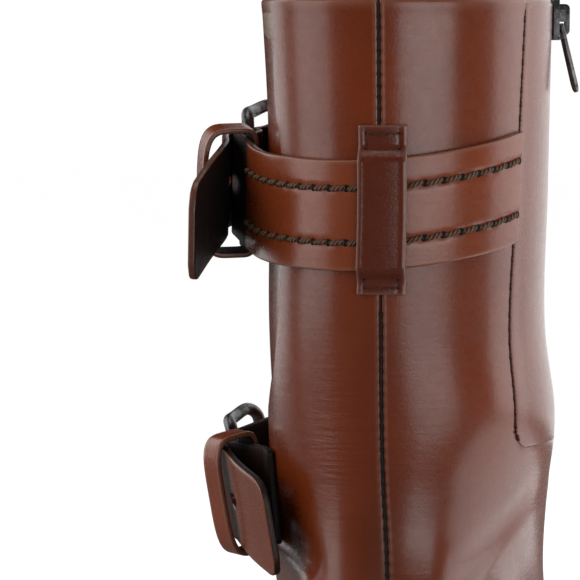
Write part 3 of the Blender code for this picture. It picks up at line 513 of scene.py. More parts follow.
def sole_height(y):
    """Feather edge above the floor: heel seat, arch, flat forefoot, toe spring."""
    arch = np.clip((BALL_BACK - y) / (BALL_BACK - SEAT_FRONT), 0.0, 1.0)
    spring = np.clip((y - BALL_FRONT) / (HEEL_BACK + LAST_LENGTH - BALL_FRONT), 0.0, None)
    climb = (HEEL_SEAT - BALL_LEVEL) * arch * arch * (3.0 - 2.0 * arch)
    return BALL_LEVEL + climb + TOE_SPRING * spring * spring


ring_size = (LAST_LENGTH, BOOT_HEIGHT)
ring_ways = ways_of(RINGS[:, :2] * ring_size) + ways_of(RINGS[:, 2:4] * ring_size)
RISES = ring_ways / ring_ways[-1]


def surface(turn, rise):
    """Point on the outside of the upper."""
    turn, rise = np.broadcast_arrays(np.asarray(turn, float), np.asarray(rise, float))
    row = smooth_curve(rise, RISES, RINGS)
    ring = {name: row[..., place] for place, name in enumerate(RING_COLUMNS)}
    angle = 2.0 * math.pi * turn
    share = (1.0 - np.cos(angle)) / 2.0
    y = HEEL_BACK + LAST_LENGTH * (ring["back"] + (ring["front"] - ring["back"]) * share)
    line = ring["back_height"] + (ring["front_height"] - ring["back_height"]) * share
    sole_line = RINGS[0][1] + (RINGS[0][3] - RINGS[0][1]) * share
    sag = sole_height(HEEL_BACK + LAST_LENGTH * share) - BOOT_HEIGHT * sole_line
    z = BOOT_HEIGHT * line + ring["follow"] * sag
    widths = smooth_curve(share, STATIONS, np.eye(len(STATIONS)))
    named = [ring[name] for name in ("heel", "heel", "waist", "joint", "toe", "toe")]
    half = HALF_BALL * sum(widths[..., place] * value for place, value in enumerate(named))
    across = np.sin(angle)
    bulge = np.sign(across) * half * np.abs(across) ** ring["fullness"]
    x = bulge + ring["bend"] * smooth_curve(share, STATIONS, FOOT_CURVE) + HALF_BALL * ring["shift"]
    return np.stack((x, y, z), axis=-1)


def outward(turn, rise):
    """Unit normal of the upper, away from the foot."""
    step = 1e-3
    low = np.clip(np.asarray(rise, float) - step, 0.0, 1.0)
    high = np.clip(np.asarray(rise, float) + step, 0.0, 1.0)
    round_way = surface(turn + step, rise) - surface(turn - step, rise)
    return unit(np.cross(round_way, surface(turn, high) - surface(turn, low)))


def rise_at(turn, height):
    """Rise at which the upper has this height above the floor."""
    turn, height = np.broadcast_arrays(np.asarray(turn, float), np.asarray(height, float))
    low = np.zeros(turn.shape)
    high = np.ones(turn.shape)
    for _ in range(24):
        middle = (low + high) / 2.0
        below = surface(turn, middle)[..., 2] < height
        low = np.where(below, middle, low)
        high = np.where(below, high, middle)
    return (low + high) / 2.0


def on_shaft(turn, height, stand=0.0):
    """Point at a turn and a height, standing off the upper by so much."""
    turn, height = np.broadcast_arrays(np.asarray(turn, float), np.asarray(height, float))
    rise = rise_at(turn, height)
    stand = np.broadcast_to(np.asarray(stand, float), turn.shape)
    return surface(turn, rise) + outward(turn, rise) * stand[..., None]


lo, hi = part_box("upper")
widest = surface(np.linspace(0.0, 1.0, 200)[:, None], np.linspace(0.0, 1.0, 80)[None, :])
print("form", np.round(np.ptp(widest.reshape(-1, 3), axis=0), 1))
print("upper", [round(side / MM, 1) for side in hi - lo])


# %% [markdown]
# ## Making sheets and strips
# Most of a boot is sheet leather. A flat grid bent by a function is the natural way to make it: the grid
# keeps its rows, so seams and stitches can be placed along them. A strip gets its thickness by extruding the
# whole grid, which gives a grain side, a flesh side and a cut edge, each with its own finish.


# %% Sheet helpers
def bent_grid(columns, rows, place, thick=False, marks=None, keep=None):
    """A grid bent by place(along, across, depth). Edges that meet are joined, and marks are attributes.

    A thick one is closed: its grain side has finish 0, its cut edge 1 and its flesh side 2. keep says, from
    the along and across of a face's middle, whether the face stays.
    """
    bm = bmesh.new()
    layers = [bm.verts.layers.float.new(name) for name in ("along", "across", "depth")]
    bmesh.ops.create_grid(bm, x_segments=columns, y_segments=rows, size=0.5)
    bmesh.ops.translate(bm, vec=(0.5, 0.5, 0.0), verts=bm.verts)
    for vert in bm.verts:
        vert[layers[0]] = vert.co.x
        vert[layers[1]] = vert.co.y
    if keep:
        middles = [(face, face.calc_center_median()) for face in bm.faces]
        dropped = [face for face, middle in middles if not keep(middle.x, middle.y)]
        bmesh.ops.delete(bm, geom=dropped, context="FACES")

    def shares():
        return np.array([[vert[layer] for layer in layers] for vert in bm.verts]).T

    def settle():
        for vert, point in zip(bm.verts, place(*shares()) * MM):
            vert.co = point
    settle()
    bmesh.ops.remove_doubles(bm, verts=bm.verts, dist=1e-6)
    if thick:
        grown = bmesh.ops.extrude_face_region(bm, geom=bm.faces[:])
        for item in grown["geom"]:
            if isinstance(item, bmesh.types.BMVert):
                item[layers[2]] = 1.0
        settle()
        for face in bm.faces:
            depth = sum(vert[layers[2]] for vert in face.verts) / len(face.verts)
            face.material_index = 0 if depth > 0.99 else 2 if depth < 0.01 else 1
    for name, mark in (marks or {}).items():
        tones = mark(*shares())
        layer = bm.verts.layers.float.new(name)
        for vert, value in zip(bm.verts, tones):
            vert[layer] = value
        layers = [bm.verts.layers.float.get(held) for held in ("along", "across", "depth")]
    for name in ("along", "across", "depth"):
        bm.verts.layers.float.remove(bm.verts.layers.float.get(name))
    return bm


def round_edges(bm, radius):
    """Round the rims of a thick strip, where its cut edge meets its faces."""
    bmesh.ops.recalc_face_normals(bm, faces=bm.faces)
    rims = [edge for edge in bm.edges
            if len({face.material_index for face in edge.link_faces}) == 2]
    bmesh.ops.bevel(bm, geom=rims, offset=radius * MM, offset_type="OFFSET", segments=2, profile=0.5,
                    affect="EDGES", material=-1)


def new_piece(name, bm, slot, *finishes, body="boot", replaces=()):
    """A smooth piece from a bmesh, riding on a body."""
    mesh = bpy.data.meshes.new(name)
    bm.to_mesh(mesh)
    bm.free()
    mesh.polygons.foreach_set("use_smooth", [True] * len(mesh.polygons))
    for finish in finishes:
        mesh.materials.append(finish)
    piece = bpy.data.objects.new(name, mesh)
    bpy.context.scene.collection.objects.link(piece)
    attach(piece, body)
    if replaces:
        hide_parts(*replaces)
    print(name, len(mesh.polygons), "faces")
    return piece


# %% [markdown]
# ## Zip guard's outline
# The zip on the inner side lies in a leather guard with rounded lower corners, let in level with the shaft.
# The skin of the shaft dips where the two meet, so the outline comes before the skin.

# %% Zip guard's outline
PLACKET_FOOT = 137.0
PLACKET_TOP = 283.5
PLACKET_ROUND = 10.0
PLACKET_BACK_TURNS = (0.148, 0.172)
ZIP_TURNS = (0.300, 0.303)
PLACKET_FRONT_TURNS = (0.334, 0.337)
SIDE_GIRTH = 350.0
GROOVE_BACK = (0.160, 0.016)    # turns where the groove fades out along the foot and comes back, and the runs
GROOVE_FRONT = (0.305, 0.016)
FOOT_SHARE = 0.2                # of the guard's thickness at its foot
FOOT_RUN = 16.0


def turn_at(turns, height):
    """Turn of a guard line, which leans back toward its foot."""
    return turns[0] + (turns[1] - turns[0]) * (height - PLACKET_FOOT) / (PLACKET_TOP - PLACKET_FOOT)


def shaft_turns(length):
    """Share of a turn that a length takes on the side of the shaft."""
    return length / (math.pi * LAST_LENGTH * (RINGS[-1][2] - RINGS[-1][0]))


def guard_edges(height):
    """Back and front edge of the guard, with its rounded lower corners."""
    below = np.clip((PLACKET_FOOT + PLACKET_ROUND - height) / PLACKET_ROUND, 0.0, 1.0)
    corner = shaft_turns(PLACKET_ROUND * (1.0 - np.sqrt(1.0 - below * below)))
    return turn_at(PLACKET_BACK_TURNS, height) + corner, turn_at(PLACKET_FRONT_TURNS, height) - corner


def guard_distance(turn, points):
    """Distance outside the guard's outline, negative under the guard."""
    height = points[..., 2]
    from_back = turn - turn_at(PLACKET_BACK_TURNS, height)
    to_front = turn_at(PLACKET_FRONT_TURNS, height) - turn
    aside = PLACKET_ROUND - np.minimum(from_back, to_front) * SIDE_GIRTH
    under = PLACKET_ROUND - (height - PLACKET_FOOT)
    corner = np.hypot(np.maximum(aside, 0.0), np.maximum(under, 0.0))
    return corner + np.minimum(np.maximum(aside, under), 0.0) - PLACKET_ROUND


def guard_depth(turn):
    """Strength of the groove round the guard: it fades out along the foot."""
    return 1.0 - step_up(turn, *GROOVE_BACK) * (1.0 - step_up(turn, *GROOVE_FRONT))


def guard_rise(height):
    """Share of its full thickness that the guard has at a height: it thins out toward the foot."""
    return FOOT_SHARE + (1.0 - FOOT_SHARE) * step_up(height, PLACKET_FOOT, FOOT_RUN)


print("guard", round((PLACKET_FRONT_TURNS[0] - PLACKET_BACK_TURNS[0]) * SIDE_GIRTH), "mm wide at its foot")

# %% [markdown]
# ## Upper
# The shaft is closed by a butt seam down the back: two edges meet, sink into a groove, and the leather beside
# it is drawn up by each stitch. On the outer side the back panel lies over the front part, so its edge is a
# step. Below, the leather breaks over the ankle in a soft trough that runs down toward the heel on both
# sides. All of these are small moves along the outward direction, in millimetres.

# %% Upper skin
SEAM_PITCH = 3.7
SEAM_KNOTS = (60.0, 95.0, 125.0, 190.0, 285.0)
SEAM_SIDES = (2.2, 1.0, -0.6, -1.0, -1.0)      # from the middle, to the inner side if positive
SEAM_DEPTH = 0.75
SEAM_WIDTH = 0.5
SEAM_RIDGE = 0.14               # leather drawn up beside the seam, and how far from it
RIDGE_ASIDE = 1.1
RIDGE_WIDTH = 0.6
GIRTH = 332.0
COLLAR_BEAD = 2.0
BEAD_RISE = 0.2
BEAD_WIDTH = 2.2
PANEL_STEP = 1.7
PANEL_RAMP = 1.6
PANEL_REACH = 100.0
PANEL_FADE = (-45.0, 38.0)      # starts or ends of soft steps, each with its run
PANEL_LINE = (-0.6, 0.7, 0.3)   # the groove under the panel's edge: place, width and depth
BREAK_DEPTH = 1.2
BREAK_LOSS = 0.9                # how much shallower the break is below the zip guard
BREAK_LOSS_TURNS = (0.16, 0.07)
BREAK_SIDES = (0.36, 0.12)
BREAK_MIDDLE = (0.03, 0.07)
BREAK_TOP = (3.0, 7.0)
BREAK_FOOT = (-60.0, 50.0)
BREAK_TROUGH = (6.0, 6.0, 0.6)  # the trough above the break: place, width and share of its depth
GUARD_LIP = 0.55
LIP_EDGE = (-0.9, 1.9)
LIP_FADE = (5.0, 20.0)
GUARD_GROOVE = 0.15
ELSEWHERE = 1e3
PANEL_KNOTS = (40.0, 90.0, 120.0, 140.0, 160.0, 180.0, 195.0, 232.0, 250.0, 285.0)
PANEL_TURNS = (-0.330, -0.300, -0.262, -0.232, -0.178, -0.155, -0.148, -0.148, -0.160, -0.151)
BREAK_TURNS = (-0.50, -0.30, -0.23, -0.181, -0.129, -0.077, 0.0,
               0.05, 0.101, 0.157, 0.186, 0.214, 0.245, 0.30, 0.50)
BREAK_HEIGHTS = (118.0, 112.0, 106.0, 101.0, 98.0, 95.0, 86.0,
                 88.0, 95.0, 105.0, 111.6, 116.6, 120.0, 124.0, 118.0)


def seam_middle(height):
    """X of the back seam at a height."""
    return smooth_curve(height, SEAM_KNOTS, SEAM_SIDES)


def seam_turn(height):
    """Turn of the back seam at a height, halved in on."""
    low = np.full(len(height), -0.1)
    high = np.full(len(height), 0.1)
    for _ in range(20):
        middle = (low + high) / 2.0
        short = surface(middle, rise_at(middle, height))[:, 0] < seam_middle(height)
        low = np.where(short, middle, low)
        high = np.where(short, high, middle)
    return (low + high) / 2.0


def seam_distance(turn, points):
    """Signed distance from the back seam, large elsewhere."""
    return np.where(np.abs(turn) < 0.2, points[..., 0] - seam_middle(points[..., 2]), ELSEWHERE)


def panel_distance(turn, points):
    """Distance past the back panel's edge on the outer side, toward the back seam."""
    edge = smooth_curve(points[..., 2], PANEL_KNOTS, PANEL_TURNS)
    return np.where(np.abs(turn + 0.2) < 0.3, (turn - edge) * GIRTH, ELSEWHERE)


def ankle_break(turn, points):
    """Height above the line where the leather breaks over the ankle."""
    return points[..., 2] - smooth_curve(turn, BREAK_TURNS, BREAK_HEIGHTS)


def skin_relief(turn, points):
    """How far the finished leather stands off the plain form."""
    height = points[..., 2]
    seam = seam_distance(turn, points)
    drawn = 0.75 + 0.45 * np.cos(2.0 * math.pi * height / SEAM_PITCH)
    ridges = SEAM_RIDGE * bell(np.abs(seam) - RIDGE_ASIDE, RIDGE_WIDTH)
    relief = ridges * drawn - SEAM_DEPTH * bell(seam, SEAM_WIDTH)
    panel = panel_distance(turn, points)
    set_back = -PANEL_STEP * (1.0 - ease(panel / PANEL_RAMP)) * step_up(panel, *PANEL_FADE)
    place, width, depth = PANEL_LINE
    relief += np.where(panel < PANEL_REACH, set_back - depth * bell(panel - place, width), 0.0)
    above = ankle_break(turn, points)
    near_back = step_down(np.abs(turn), *BREAK_SIDES) * step_up(np.abs(turn), *BREAK_MIDDLE)
    below = step_down(above, *BREAK_TOP) * step_up(above, *BREAK_FOOT)
    place, width, share = BREAK_TROUGH
    depth = BREAK_DEPTH - BREAK_LOSS * step_up(turn, *BREAK_LOSS_TURNS)
    relief += near_back * depth * (below - share * bell(above - place, width))
    outside = guard_distance(turn, points)
    raised = step_up(outside, *LIP_EDGE) * (1.0 - step_up(outside, *LIP_FADE))
    relief += GUARD_LIP * guard_rise(height) * raised
    relief -= GUARD_GROOVE * guard_depth(turn) * bell(outside - 0.3, 0.6)
    return relief + BEAD_RISE * bell(height - BOOT_HEIGHT + COLLAR_BEAD, BEAD_WIDTH)


def crowded(count, places, width, weight):
    """Turns once round the boot that stand closer together near some places."""
    fine = np.linspace(-0.5, 0.5, 4001)
    crowd = 1.0 + sum(weight * bell(fine - place, width) for place in places)
    share = np.cumsum(crowd)
    return np.interp(np.linspace(share[0], share[-1], count + 1), share, fine)


SKIN_COLUMNS = 380
SKIN_ROWS = 230
ROLL_ROWS = 14
FOLD_ROWS = 5                   # of them, those that run down inside the collar
FOLD_DEPTH = 9.0
FOOT_ROWS = 60
FOOT_RISE = 0.3
COLLAR_RISE = 0.996
skin_turns = crowded(SKIN_COLUMNS, (0.0, -0.155, 0.16), 0.014, 4.0)
foot_rises = np.linspace(0.0, FOOT_RISE, FOOT_ROWS + 1)[:-1]
shaft_rises = np.linspace(FOOT_RISE, COLLAR_RISE, SKIN_ROWS - ROLL_ROWS - FOOT_ROWS + 1)
skin_rises = np.concatenate((foot_rises, shaft_rises))


def skin_place(along, across, depth):
    column = np.rint(along * SKIN_COLUMNS).astype(int)
    row = np.rint(across * SKIN_ROWS).astype(int)
    turn = skin_turns[column]
    last = len(skin_rises) - 1
    rise = skin_rises[np.minimum(row, last)]
    points = surface(turn, rise)
    out = outward(turn, rise)
    points = points + out * skin_relief(turn, points)[:, None]
    rolled = np.clip((row - last) / (ROLL_ROWS - FOLD_ROWS), 0.0, 1.0) * math.pi
    inside = np.clip((row - last - ROLL_ROWS + FOLD_ROWS) / FOLD_ROWS, 0.0, 1.0)
    half = WALL / 2.0
    points = points + out * (half * (np.cos(rolled) - 1.0))[:, None]
    points[:, 2] += half * np.sin(rolled) - FOLD_DEPTH * inside
    return points


def skin_mark(measure):
    """An attribute of the skin, worked out from its turn, rise and plain form."""
    def mark(along, across, depth):
        turn = skin_turns[np.rint(along * SKIN_COLUMNS).astype(int)]
        row = np.rint(across * SKIN_ROWS).astype(int)
        points = surface(turn, skin_rises[np.minimum(row, len(skin_rises) - 1)])
        return measure(turn, points)
    return mark


SEAM_DARKENING_TOP = 205.0             # below these heights the colour is darker by the seam, and by the heel, partly as painted shade
HEEL_DARKENING_TOP = 130.0
DARKENING_FADE = 30.0


def seam_and_shade_mask(turn, points):
    """Where the colour is dark: the seams, painted shade in the guard's groove and under the panel's edge,
    and a soft darkening low at the back that is partly painted shade.
    """
    height = points[..., 2]
    seam = seam_distance(turn, points)
    # the line under the back panel's edge is painted shade below its step
    dark = bell(seam, 0.45) + 0.85 * bell(panel_distance(turn, points) + 0.8, 0.9)
    # darker low by the seam and by the heel: partly the leather's own tone, partly painted shade
    dark = dark + 0.2 * bell(seam + 3.0, 8.0) * step_down(height, SEAM_DARKENING_TOP, DARKENING_FADE)
    dark = dark + 0.16 * bell(seam - 5.0, 26.0) * step_down(height, HEEL_DARKENING_TOP, DARKENING_FADE)
    # painted shade in the groove round the zip guard
    dark = dark + 0.3 * guard_depth(turn) * bell(guard_distance(turn, points) - 0.4, 1.0)
    return np.clip(dark, 0.0, 1.0)


def wear_and_collar_light_mask(turn, points):
    """Where the colour turns paler: polish rubbed off beside the seam's stitches, and on the collar's rim
    partly rubbed polish, partly painted light.
    """
    drawn = 0.5 + 0.5 * np.cos(2.0 * math.pi * points[..., 2] / SEAM_PITCH)
    beside = bell(np.abs(seam_distance(turn, points)) - 1.4, 0.6) * (0.12 + 0.25 * drawn)
    height = points[..., 2]
    # the collar's paler rolled rim: partly rubbed polish, partly painted light from above
    rim = 0.3 * bell(height - BOOT_HEIGHT + 0.4, 1.0)
    return beside + rim + 0.12 * ease((height - BOOT_HEIGHT + 3.2) / 0.8)


def crinkle_mask(turn, points):
    """Where the fine level wrinkles show: left of the seam above the ankle, and along the break."""
    left_of_seam = bell(turn + 0.045, 0.04) * bell(points[..., 2] - 140.0, 22.0)
    return 0.25 + 1.6 * left_of_seam + 0.5 * bell(ankle_break(turn, points), 14.0)


# the seam attribute carries dark seams and painted shade
# the wear attribute carries rubbed polish, and painted light on the collar's rim
skin = bent_grid(SKIN_COLUMNS, SKIN_ROWS, skin_place, marks={
    "seam": skin_mark(seam_and_shade_mask), "wear": skin_mark(wear_and_collar_light_mask), "crinkle": skin_mark(crinkle_mask)})
new_piece("upper_skin", skin, "chestnut_leather", upper_hide, replaces=("upper",))


# %% [markdown]
# The lining is the inside of the same wall. It is a second sheet, turned to face the foot, that starts under
# the collar's fold and ends at the insole.

# %% Lining
LINING_TOP = 0.985
LINING_SINK = 0.2               # how far it lies inside the wall, and how much further under the fold
TUCK = 0.8
TUCK_RISE = 0.95
TUCK_RUN = 0.015


def lining_place(along, across, depth):
    turn = 0.5 - along
    rise = LINING_TOP * across
    tucked = TUCK * step_up(rise, TUCK_RISE, TUCK_RUN)
    return surface(turn, rise) - outward(turn, rise) * (WALL - LINING_SINK - tucked)[:, None]


lining = bent_grid(columns=120, rows=90, place=lining_place)
new_piece("lining", lining, "chestnut_leather", lining_hide)


# %% [markdown]
# ## Stitches
# A stitch is a short piece of twisted cord. One grid, rolled into a tube, makes it: the tube's radius rises
# and falls round it in lobes, and the lobes wind as they go, which gives the rope's look at a few dozen
# faces. Many stitches are joined into one piece.


# %% Stitch helper
def add_stitches(bm, starts, ends, outs, radius, lobes, winds, arch, steps, around):
    """Twisted stitches from starts to ends, arched away from the leather along outs."""
    # pale on each strand's crest and dark between: painted light and shade on the thread
    strand_shading = bm.verts.layers.float.get("strand_shading") or bm.verts.layers.float.new("strand_shading")
    for start, end, out in zip(starts, ends, outs):
        made = bmesh.ops.create_grid(bm, x_segments=steps, y_segments=around, size=0.5)["verts"]
        along = np.array([vert.co.x + 0.5 for vert in made])
        angle = np.array([vert.co.y + 0.5 for vert in made]) * 2.0 * math.pi
        side = unit(np.cross(out, end - start))
        lobe = np.cos(lobes * angle - 2.0 * math.pi * winds * along)
        end_round = np.sqrt(np.clip(1.0 - np.abs(2.0 * along - 1.0) ** 5, 0.0, 1.0))
        size = radius * end_round * (1.0 + 0.13 * lobe)
        lift = arch * radius * (2.0 * np.sqrt(np.clip(np.sin(math.pi * along), 0.0, 1.0)) - 1.0)
        points = start + (end - start) * along[:, None] + out * (lift + size * np.cos(angle))[:, None]
        points = points + side * (size * np.sin(angle))[:, None]
        for vert, point, tone in zip(made, points * MM, lobe):
            vert.co = point
            vert[strand_shading] = tone
    return bm


def close_stitches(bm):
    bmesh.ops.remove_doubles(bm, verts=bm.verts, dist=1e-6)
    bmesh.ops.recalc_face_normals(bm, faces=bm.faces)
    return bm


def add_shade_drops(bm, middles, alongs, outs, length, width):
    """Painted shade where a thread goes in: dark flat drops, sunk to their middle."""
    for middle, along, out in zip(middles, alongs, outs):
        made = bmesh.ops.create_uvsphere(bm, u_segments=10, v_segments=6, radius=1.0)["verts"]
        axes = np.array((along * length / 2.0, unit(np.cross(out, along)) * width / 2.0, out * 0.22))
        for vert in made:
            vert.co = (np.array(vert.co) @ axes + middle) * MM
    return bm


# %% Back seam stitches
SEAM_RUNS = ((283.0, 244.5), (183.5, 44.0))     # above the strap's keeper, and below the strap
SEAM_RADIUS = 0.36
SEAM_HALF = 0.6
SEAM_LEAN = 0.5
seam_levels = np.concatenate([np.arange(top, foot, -SEAM_PITCH) for top, foot in SEAM_RUNS])
seam_turns = seam_turn(seam_levels)
seam_points = on_shaft(seam_turns, seam_levels, 0.0)
seam_outs = outward(seam_turns, rise_at(seam_turns, seam_levels))
rightways = np.array((1.0, 0.0, 0.0))
seam_bm = bmesh.new()
for lean in (-SEAM_LEAN, SEAM_LEAN):
    shift = rightways * SEAM_HALF + np.array((0.0, 0.0, lean))
    add_stitches(seam_bm, seam_points - shift, seam_points + shift, seam_outs, SEAM_RADIUS,
                 lobes=2, winds=1.0, arch=0.6, steps=8, around=7)
lower = seam_points[1:]
upper_ends = seam_points[:-1]
joined = np.linalg.norm(upper_ends - lower, axis=1) < 2.0 * SEAM_PITCH
add_stitches(seam_bm, lower[joined], upper_ends[joined], seam_outs[1:][joined], SEAM_RADIUS,
             lobes=2, winds=1.0, arch=-0.4, steps=6, around=7)
new_piece("back_seam_stitches", close_stitches(seam_bm), "chestnut_leather", seam_thread)


# %% [markdown]
# ## Straps and buckles
# Each strap pair has a carrier, folded round the buckle's bar, and a holed strap that comes round the front,
# goes under the far bar, over the fold and through the keeper loop, and ends in a free tail. The routes are
# worked out on the boot's form as for the solids, then read at close stops for a smooth strip.

# %% Strap sizes
STRAP_THICK = 2.4
BAR_RADIUS = 2.4
FRAME_REACH = 27.0
FRAME_PINCH = 1.4
FRAME_ROOM = 3.2
FAR_BAR_STAND = BAR_RADIUS + STRAP_THICK + 2.0
FAR_BAR_CLEAR = 1.6
FOLD_RETURN = 7.0
FOLD_CLEAR = 0.8
STRAPS = {
    "calf": {
        "carrier": "calf_back_strap", "holed": "calf_front_strap", "edge": cut_edge,
        "width": 36.0, "holed_width": 33.0,
        "carrier_line": ((-0.25, 223.0), (-0.2, 218.6), (-0.1, 215.6), (0.0, 216.0), (0.1, 220.0),
                         (0.195, 226.5)),
        "carrier_end": 0.1603, "carrier_slant": 0.055,
        "leave": -0.2, "lift": (-0.09, 3.0), "splay": -1.0, "free_run": 27.0,
        "holed_line": ((0.30, 221.0), (0.5, 223.0), (0.75, 222.0)),
        "holed_start": 0.345, "holed_leave": 0.655, "keeper_back": 13.2, "keeper_half": 20.4,
        "tail": ((3.2, 14.0, 2.2), (5.4, 33.0, 8.6), (7.2, 55.0, 16.0)),
    },
    "ankle": {
        "carrier": "ankle_buckle_tab", "holed": "ankle_strap", "edge": dark_edge_and_shade,
        "width": 33.5, "holed_width": 33.5,
        "carrier_line": ((-0.25, 119.5), (-0.15, 118.0), (0.0, 116.0)),
        "carrier_end": -0.176, "carrier_slant": 0.0,
        "leave": -0.198, "lift": (-0.176, 0.0), "splay": 20.5, "free_run": 26.0,
        "holed_line": ((0.30, 126.0), (0.5, 131.0), (0.75, 120.0)),
        "holed_start": 0.345, "holed_leave": 0.605, "keeper_back": 12.8, "keeper_half": 19.2,
        "tail": ((-0.4, 13.0, 1.0), (-9.4, 33.0, 5.0), (-21.2, 52.0, 9.5)),
    },
}


# %% Strap routes
def strap_seat(turn, height, width):
    """Middle of a flat strap's inner face laid on the shaft, and its upward direction."""
    levels = np.linspace(-0.5, 0.5, 5)
    points = np.stack([on_shaft(turn, height + width * level) for level in levels])
    up = unit(points[-1] - points[0])
    out = outward(turn, rise_at(turn, height))
    out = unit(out - up * np.sum(out * up, axis=-1, keepdims=True))
    stand = np.max(np.sum((points - points[0]) * out, axis=-1), axis=0) + GAP
    return (points[0] + points[-1]) / 2.0 + out * stand[..., None], up


def stand_off(point):
    """How far a point at the outer side is clear of the upper at its own height."""
    turns = np.linspace(0.5, 1.0, 241)
    ring = on_shaft(turns, point[2])
    near = int(np.argmin(np.linalg.norm(ring - point, axis=1)))
    return float(np.dot(point - ring[near], outward(turns[near], rise_at(turns[near], point[2]))))


def carrier_seat(strap, turns):
    """Seat of the strap that carries the buckle: it lifts off the shaft toward the place where it leaves."""
    line = np.array(strap["carrier_line"])
    heights = smooth_curve(turns, line[:, 0], line[:, 1])
    middles, ups = strap_seat(turns, heights, strap["width"])
    lift_from, lift = strap["lift"]
    share = np.clip((lift_from - turns) / (lift_from - strap["leave"]), 0.0, 1.0)
    return middles + outward(turns, rise_at(turns, heights)) * (lift * share * share)[:, None], ups


def buckle_place(strap):
    """Bars of a buckle, and the directions of its strap and of its frame."""
    middles, ups = carrier_seat(strap, np.array((strap["leave"], strap["leave"] + 0.004)))
    tangent = unit(middles[0] - middles[1])
    aside = unit(np.cross(ups[0], tangent))
    splay = math.radians(strap["splay"])
    forward = tangent * math.cos(splay) + aside * math.sin(splay)
    out = unit(np.cross(ups[0], forward))
    up = np.cross(forward, out)
    bar = middles[0] + forward * strap["free_run"] - out * (BAR_RADIUS + GAP)
    half_height = strap["width"] / 2.0 + FRAME_ROOM + FRAME_PINCH
    levels = up * np.linspace(-half_height, half_height, 5)[:, None]
    least, most = 0.0, math.pi / 2.0
    for _ in range(20):
        lean = (least + most) / 2.0
        reach = forward * math.cos(lean) - out * math.sin(lean)
        far_bar = bar + reach * FRAME_REACH
        clear = min(stand_off(point) for point in far_bar + levels) > FAR_BAR_STAND
        least, most = (lean, most) if clear else (least, lean)
    inward = -out * math.cos(lean) - forward * math.sin(lean)
    return {"forward": forward, "out": out, "up": up, "bar": bar, "reach": reach, "inward": inward,
            "far_bar": far_bar, "start": middles[0]}


def carrier_route(strap, place):
    """Inner face of the strap that carries the buckle, from its turned-back end to its sewn end."""
    radius = BAR_RADIUS + GAP
    points = []
    for share in np.linspace(0.0, 1.0, 6):
        level_share = (1.0 + math.cos(math.pi * share)) / 2.0
        level = (radius - GAP) * level_share - radius * (1.0 - level_share)
        points.append(place["bar"] - place["forward"] * FOLD_RETURN * (1.0 - share) + place["out"] * level)
    for turned in np.linspace(-90.0, 90.0, 11)[1:]:
        swing = math.radians(turned)
        points.append(place["bar"] + radius * (place["out"] * math.sin(swing)
                                               + place["forward"] * math.cos(swing)))
    for share in np.linspace(1.0, 0.0, 7)[1:-1]:
        points.append(place["start"] + place["forward"] * strap["free_run"] * share)
    ups = [place["up"]] * len(points)
    count = max(3, int(abs(strap["carrier_end"] - strap["leave"]) * 90))
    turns = np.linspace(strap["leave"], strap["carrier_end"], count)
    middles, seat_ups = carrier_seat(strap, turns)
    seat_ups[-1] += unit(middles[-1] - middles[-2]) * strap["carrier_slant"]
    return np.vstack((points, middles)), np.vstack((ups, seat_ups))


def holed_route(strap, place):
    """Inner face of the holed strap: round the front, under the far bar, over the fold, and its tail."""
    line = np.array(strap["holed_line"])
    turns = np.linspace(strap["holed_start"], strap["holed_leave"], 24)
    heights = smooth_curve(turns, line[:, 0], line[:, 1])
    middles, seat_ups = strap_seat(turns, heights, strap["holed_width"])
    under = place["far_bar"] + place["inward"] * (BAR_RADIUS + FAR_BAR_CLEAR + STRAP_THICK)
    over = place["bar"] - place["inward"] * (BAR_RADIUS + GAP + STRAP_THICK + FOLD_CLEAR)
    knots = [middles[-2], middles[-1], under, (under + over) / 2.0, over]
    for outboard, back, down in strap["tail"]:
        knots.append(place["bar"] + (-outboard - FOLD_CLEAR, -back, -down))
    knots = np.array(knots)
    ways = ways_of(knots)
    stops = np.linspace(ways[1], ways[-1], 30)[1:]
    free = smooth_curve(stops, ways, knots)
    share = np.clip((stops - ways[1]) / (ways[2] - ways[1]), 0.0, 1.0)[:, None]
    free_ups = unit(seat_ups[-1] * (1.0 - share) + place["up"] * share)
    return np.vstack((middles, free)), np.vstack((seat_ups, free_ups))


def close_stops(points, ups, step):
    """A route read at even close stops: points, ups, outward directions and ways."""
    ways = ways_of(points)
    stops = np.linspace(0.0, ways[-1], max(2, int(ways[-1] / step)) + 1)
    fine = smooth_curve(stops, ways, points)
    fine_ups = unit(smooth_curve(stops, ways, ups))
    outs = unit(np.cross(np.gradient(fine, axis=0), fine_ups))
    return {"points": fine, "ups": fine_ups, "outs": outs, "ways": stops}


def at_way(route, way):
    """Point, along, up and outward directions of a route at a way."""
    columns = [np.column_stack([np.interp(way, route["ways"], route[name][:, axis]) for axis in range(3)])
               for name in ("points", "ups", "outs")]
    point, up, out = columns
    return point, unit(np.cross(unit(up), unit(out))), unit(up), unit(out)


places = {name: buckle_place(strap) for name, strap in STRAPS.items()}
carriers = {}
holed = {}
for name, strap in STRAPS.items():
    carriers[name] = close_stops(*carrier_route(strap, places[name]), 1.0)
    holed[name] = close_stops(*holed_route(strap, places[name]), 1.6)
    lengths = [round(routes[name]["ways"][-1]) for routes in (carriers, holed)]
    print(name, "carrier and holed strap", lengths, "mm long")


# %% [markdown]
# The back strap has two rows of thick cord, laid in shallow channels. Where each stitch goes in, the channel
# has a pit with a dark drop in it as painted shade, and the polish wears off along the strap's upper and
# lower edges. The tails end square with rounded corners.

# %% Strap strips
CORD_ROWS = (-0.245, 0.245)
CORD_PITCH = 6.1
CORD_START = 37.2               # ways along the strap: where the cord starts, and how near the end it stops
CORD_STOP = 1.5
CORD_RADIUS = 0.82
THREAD_SINK = 0.15
CORD_LEAN = 0.45
CORD_INSET = 0.3
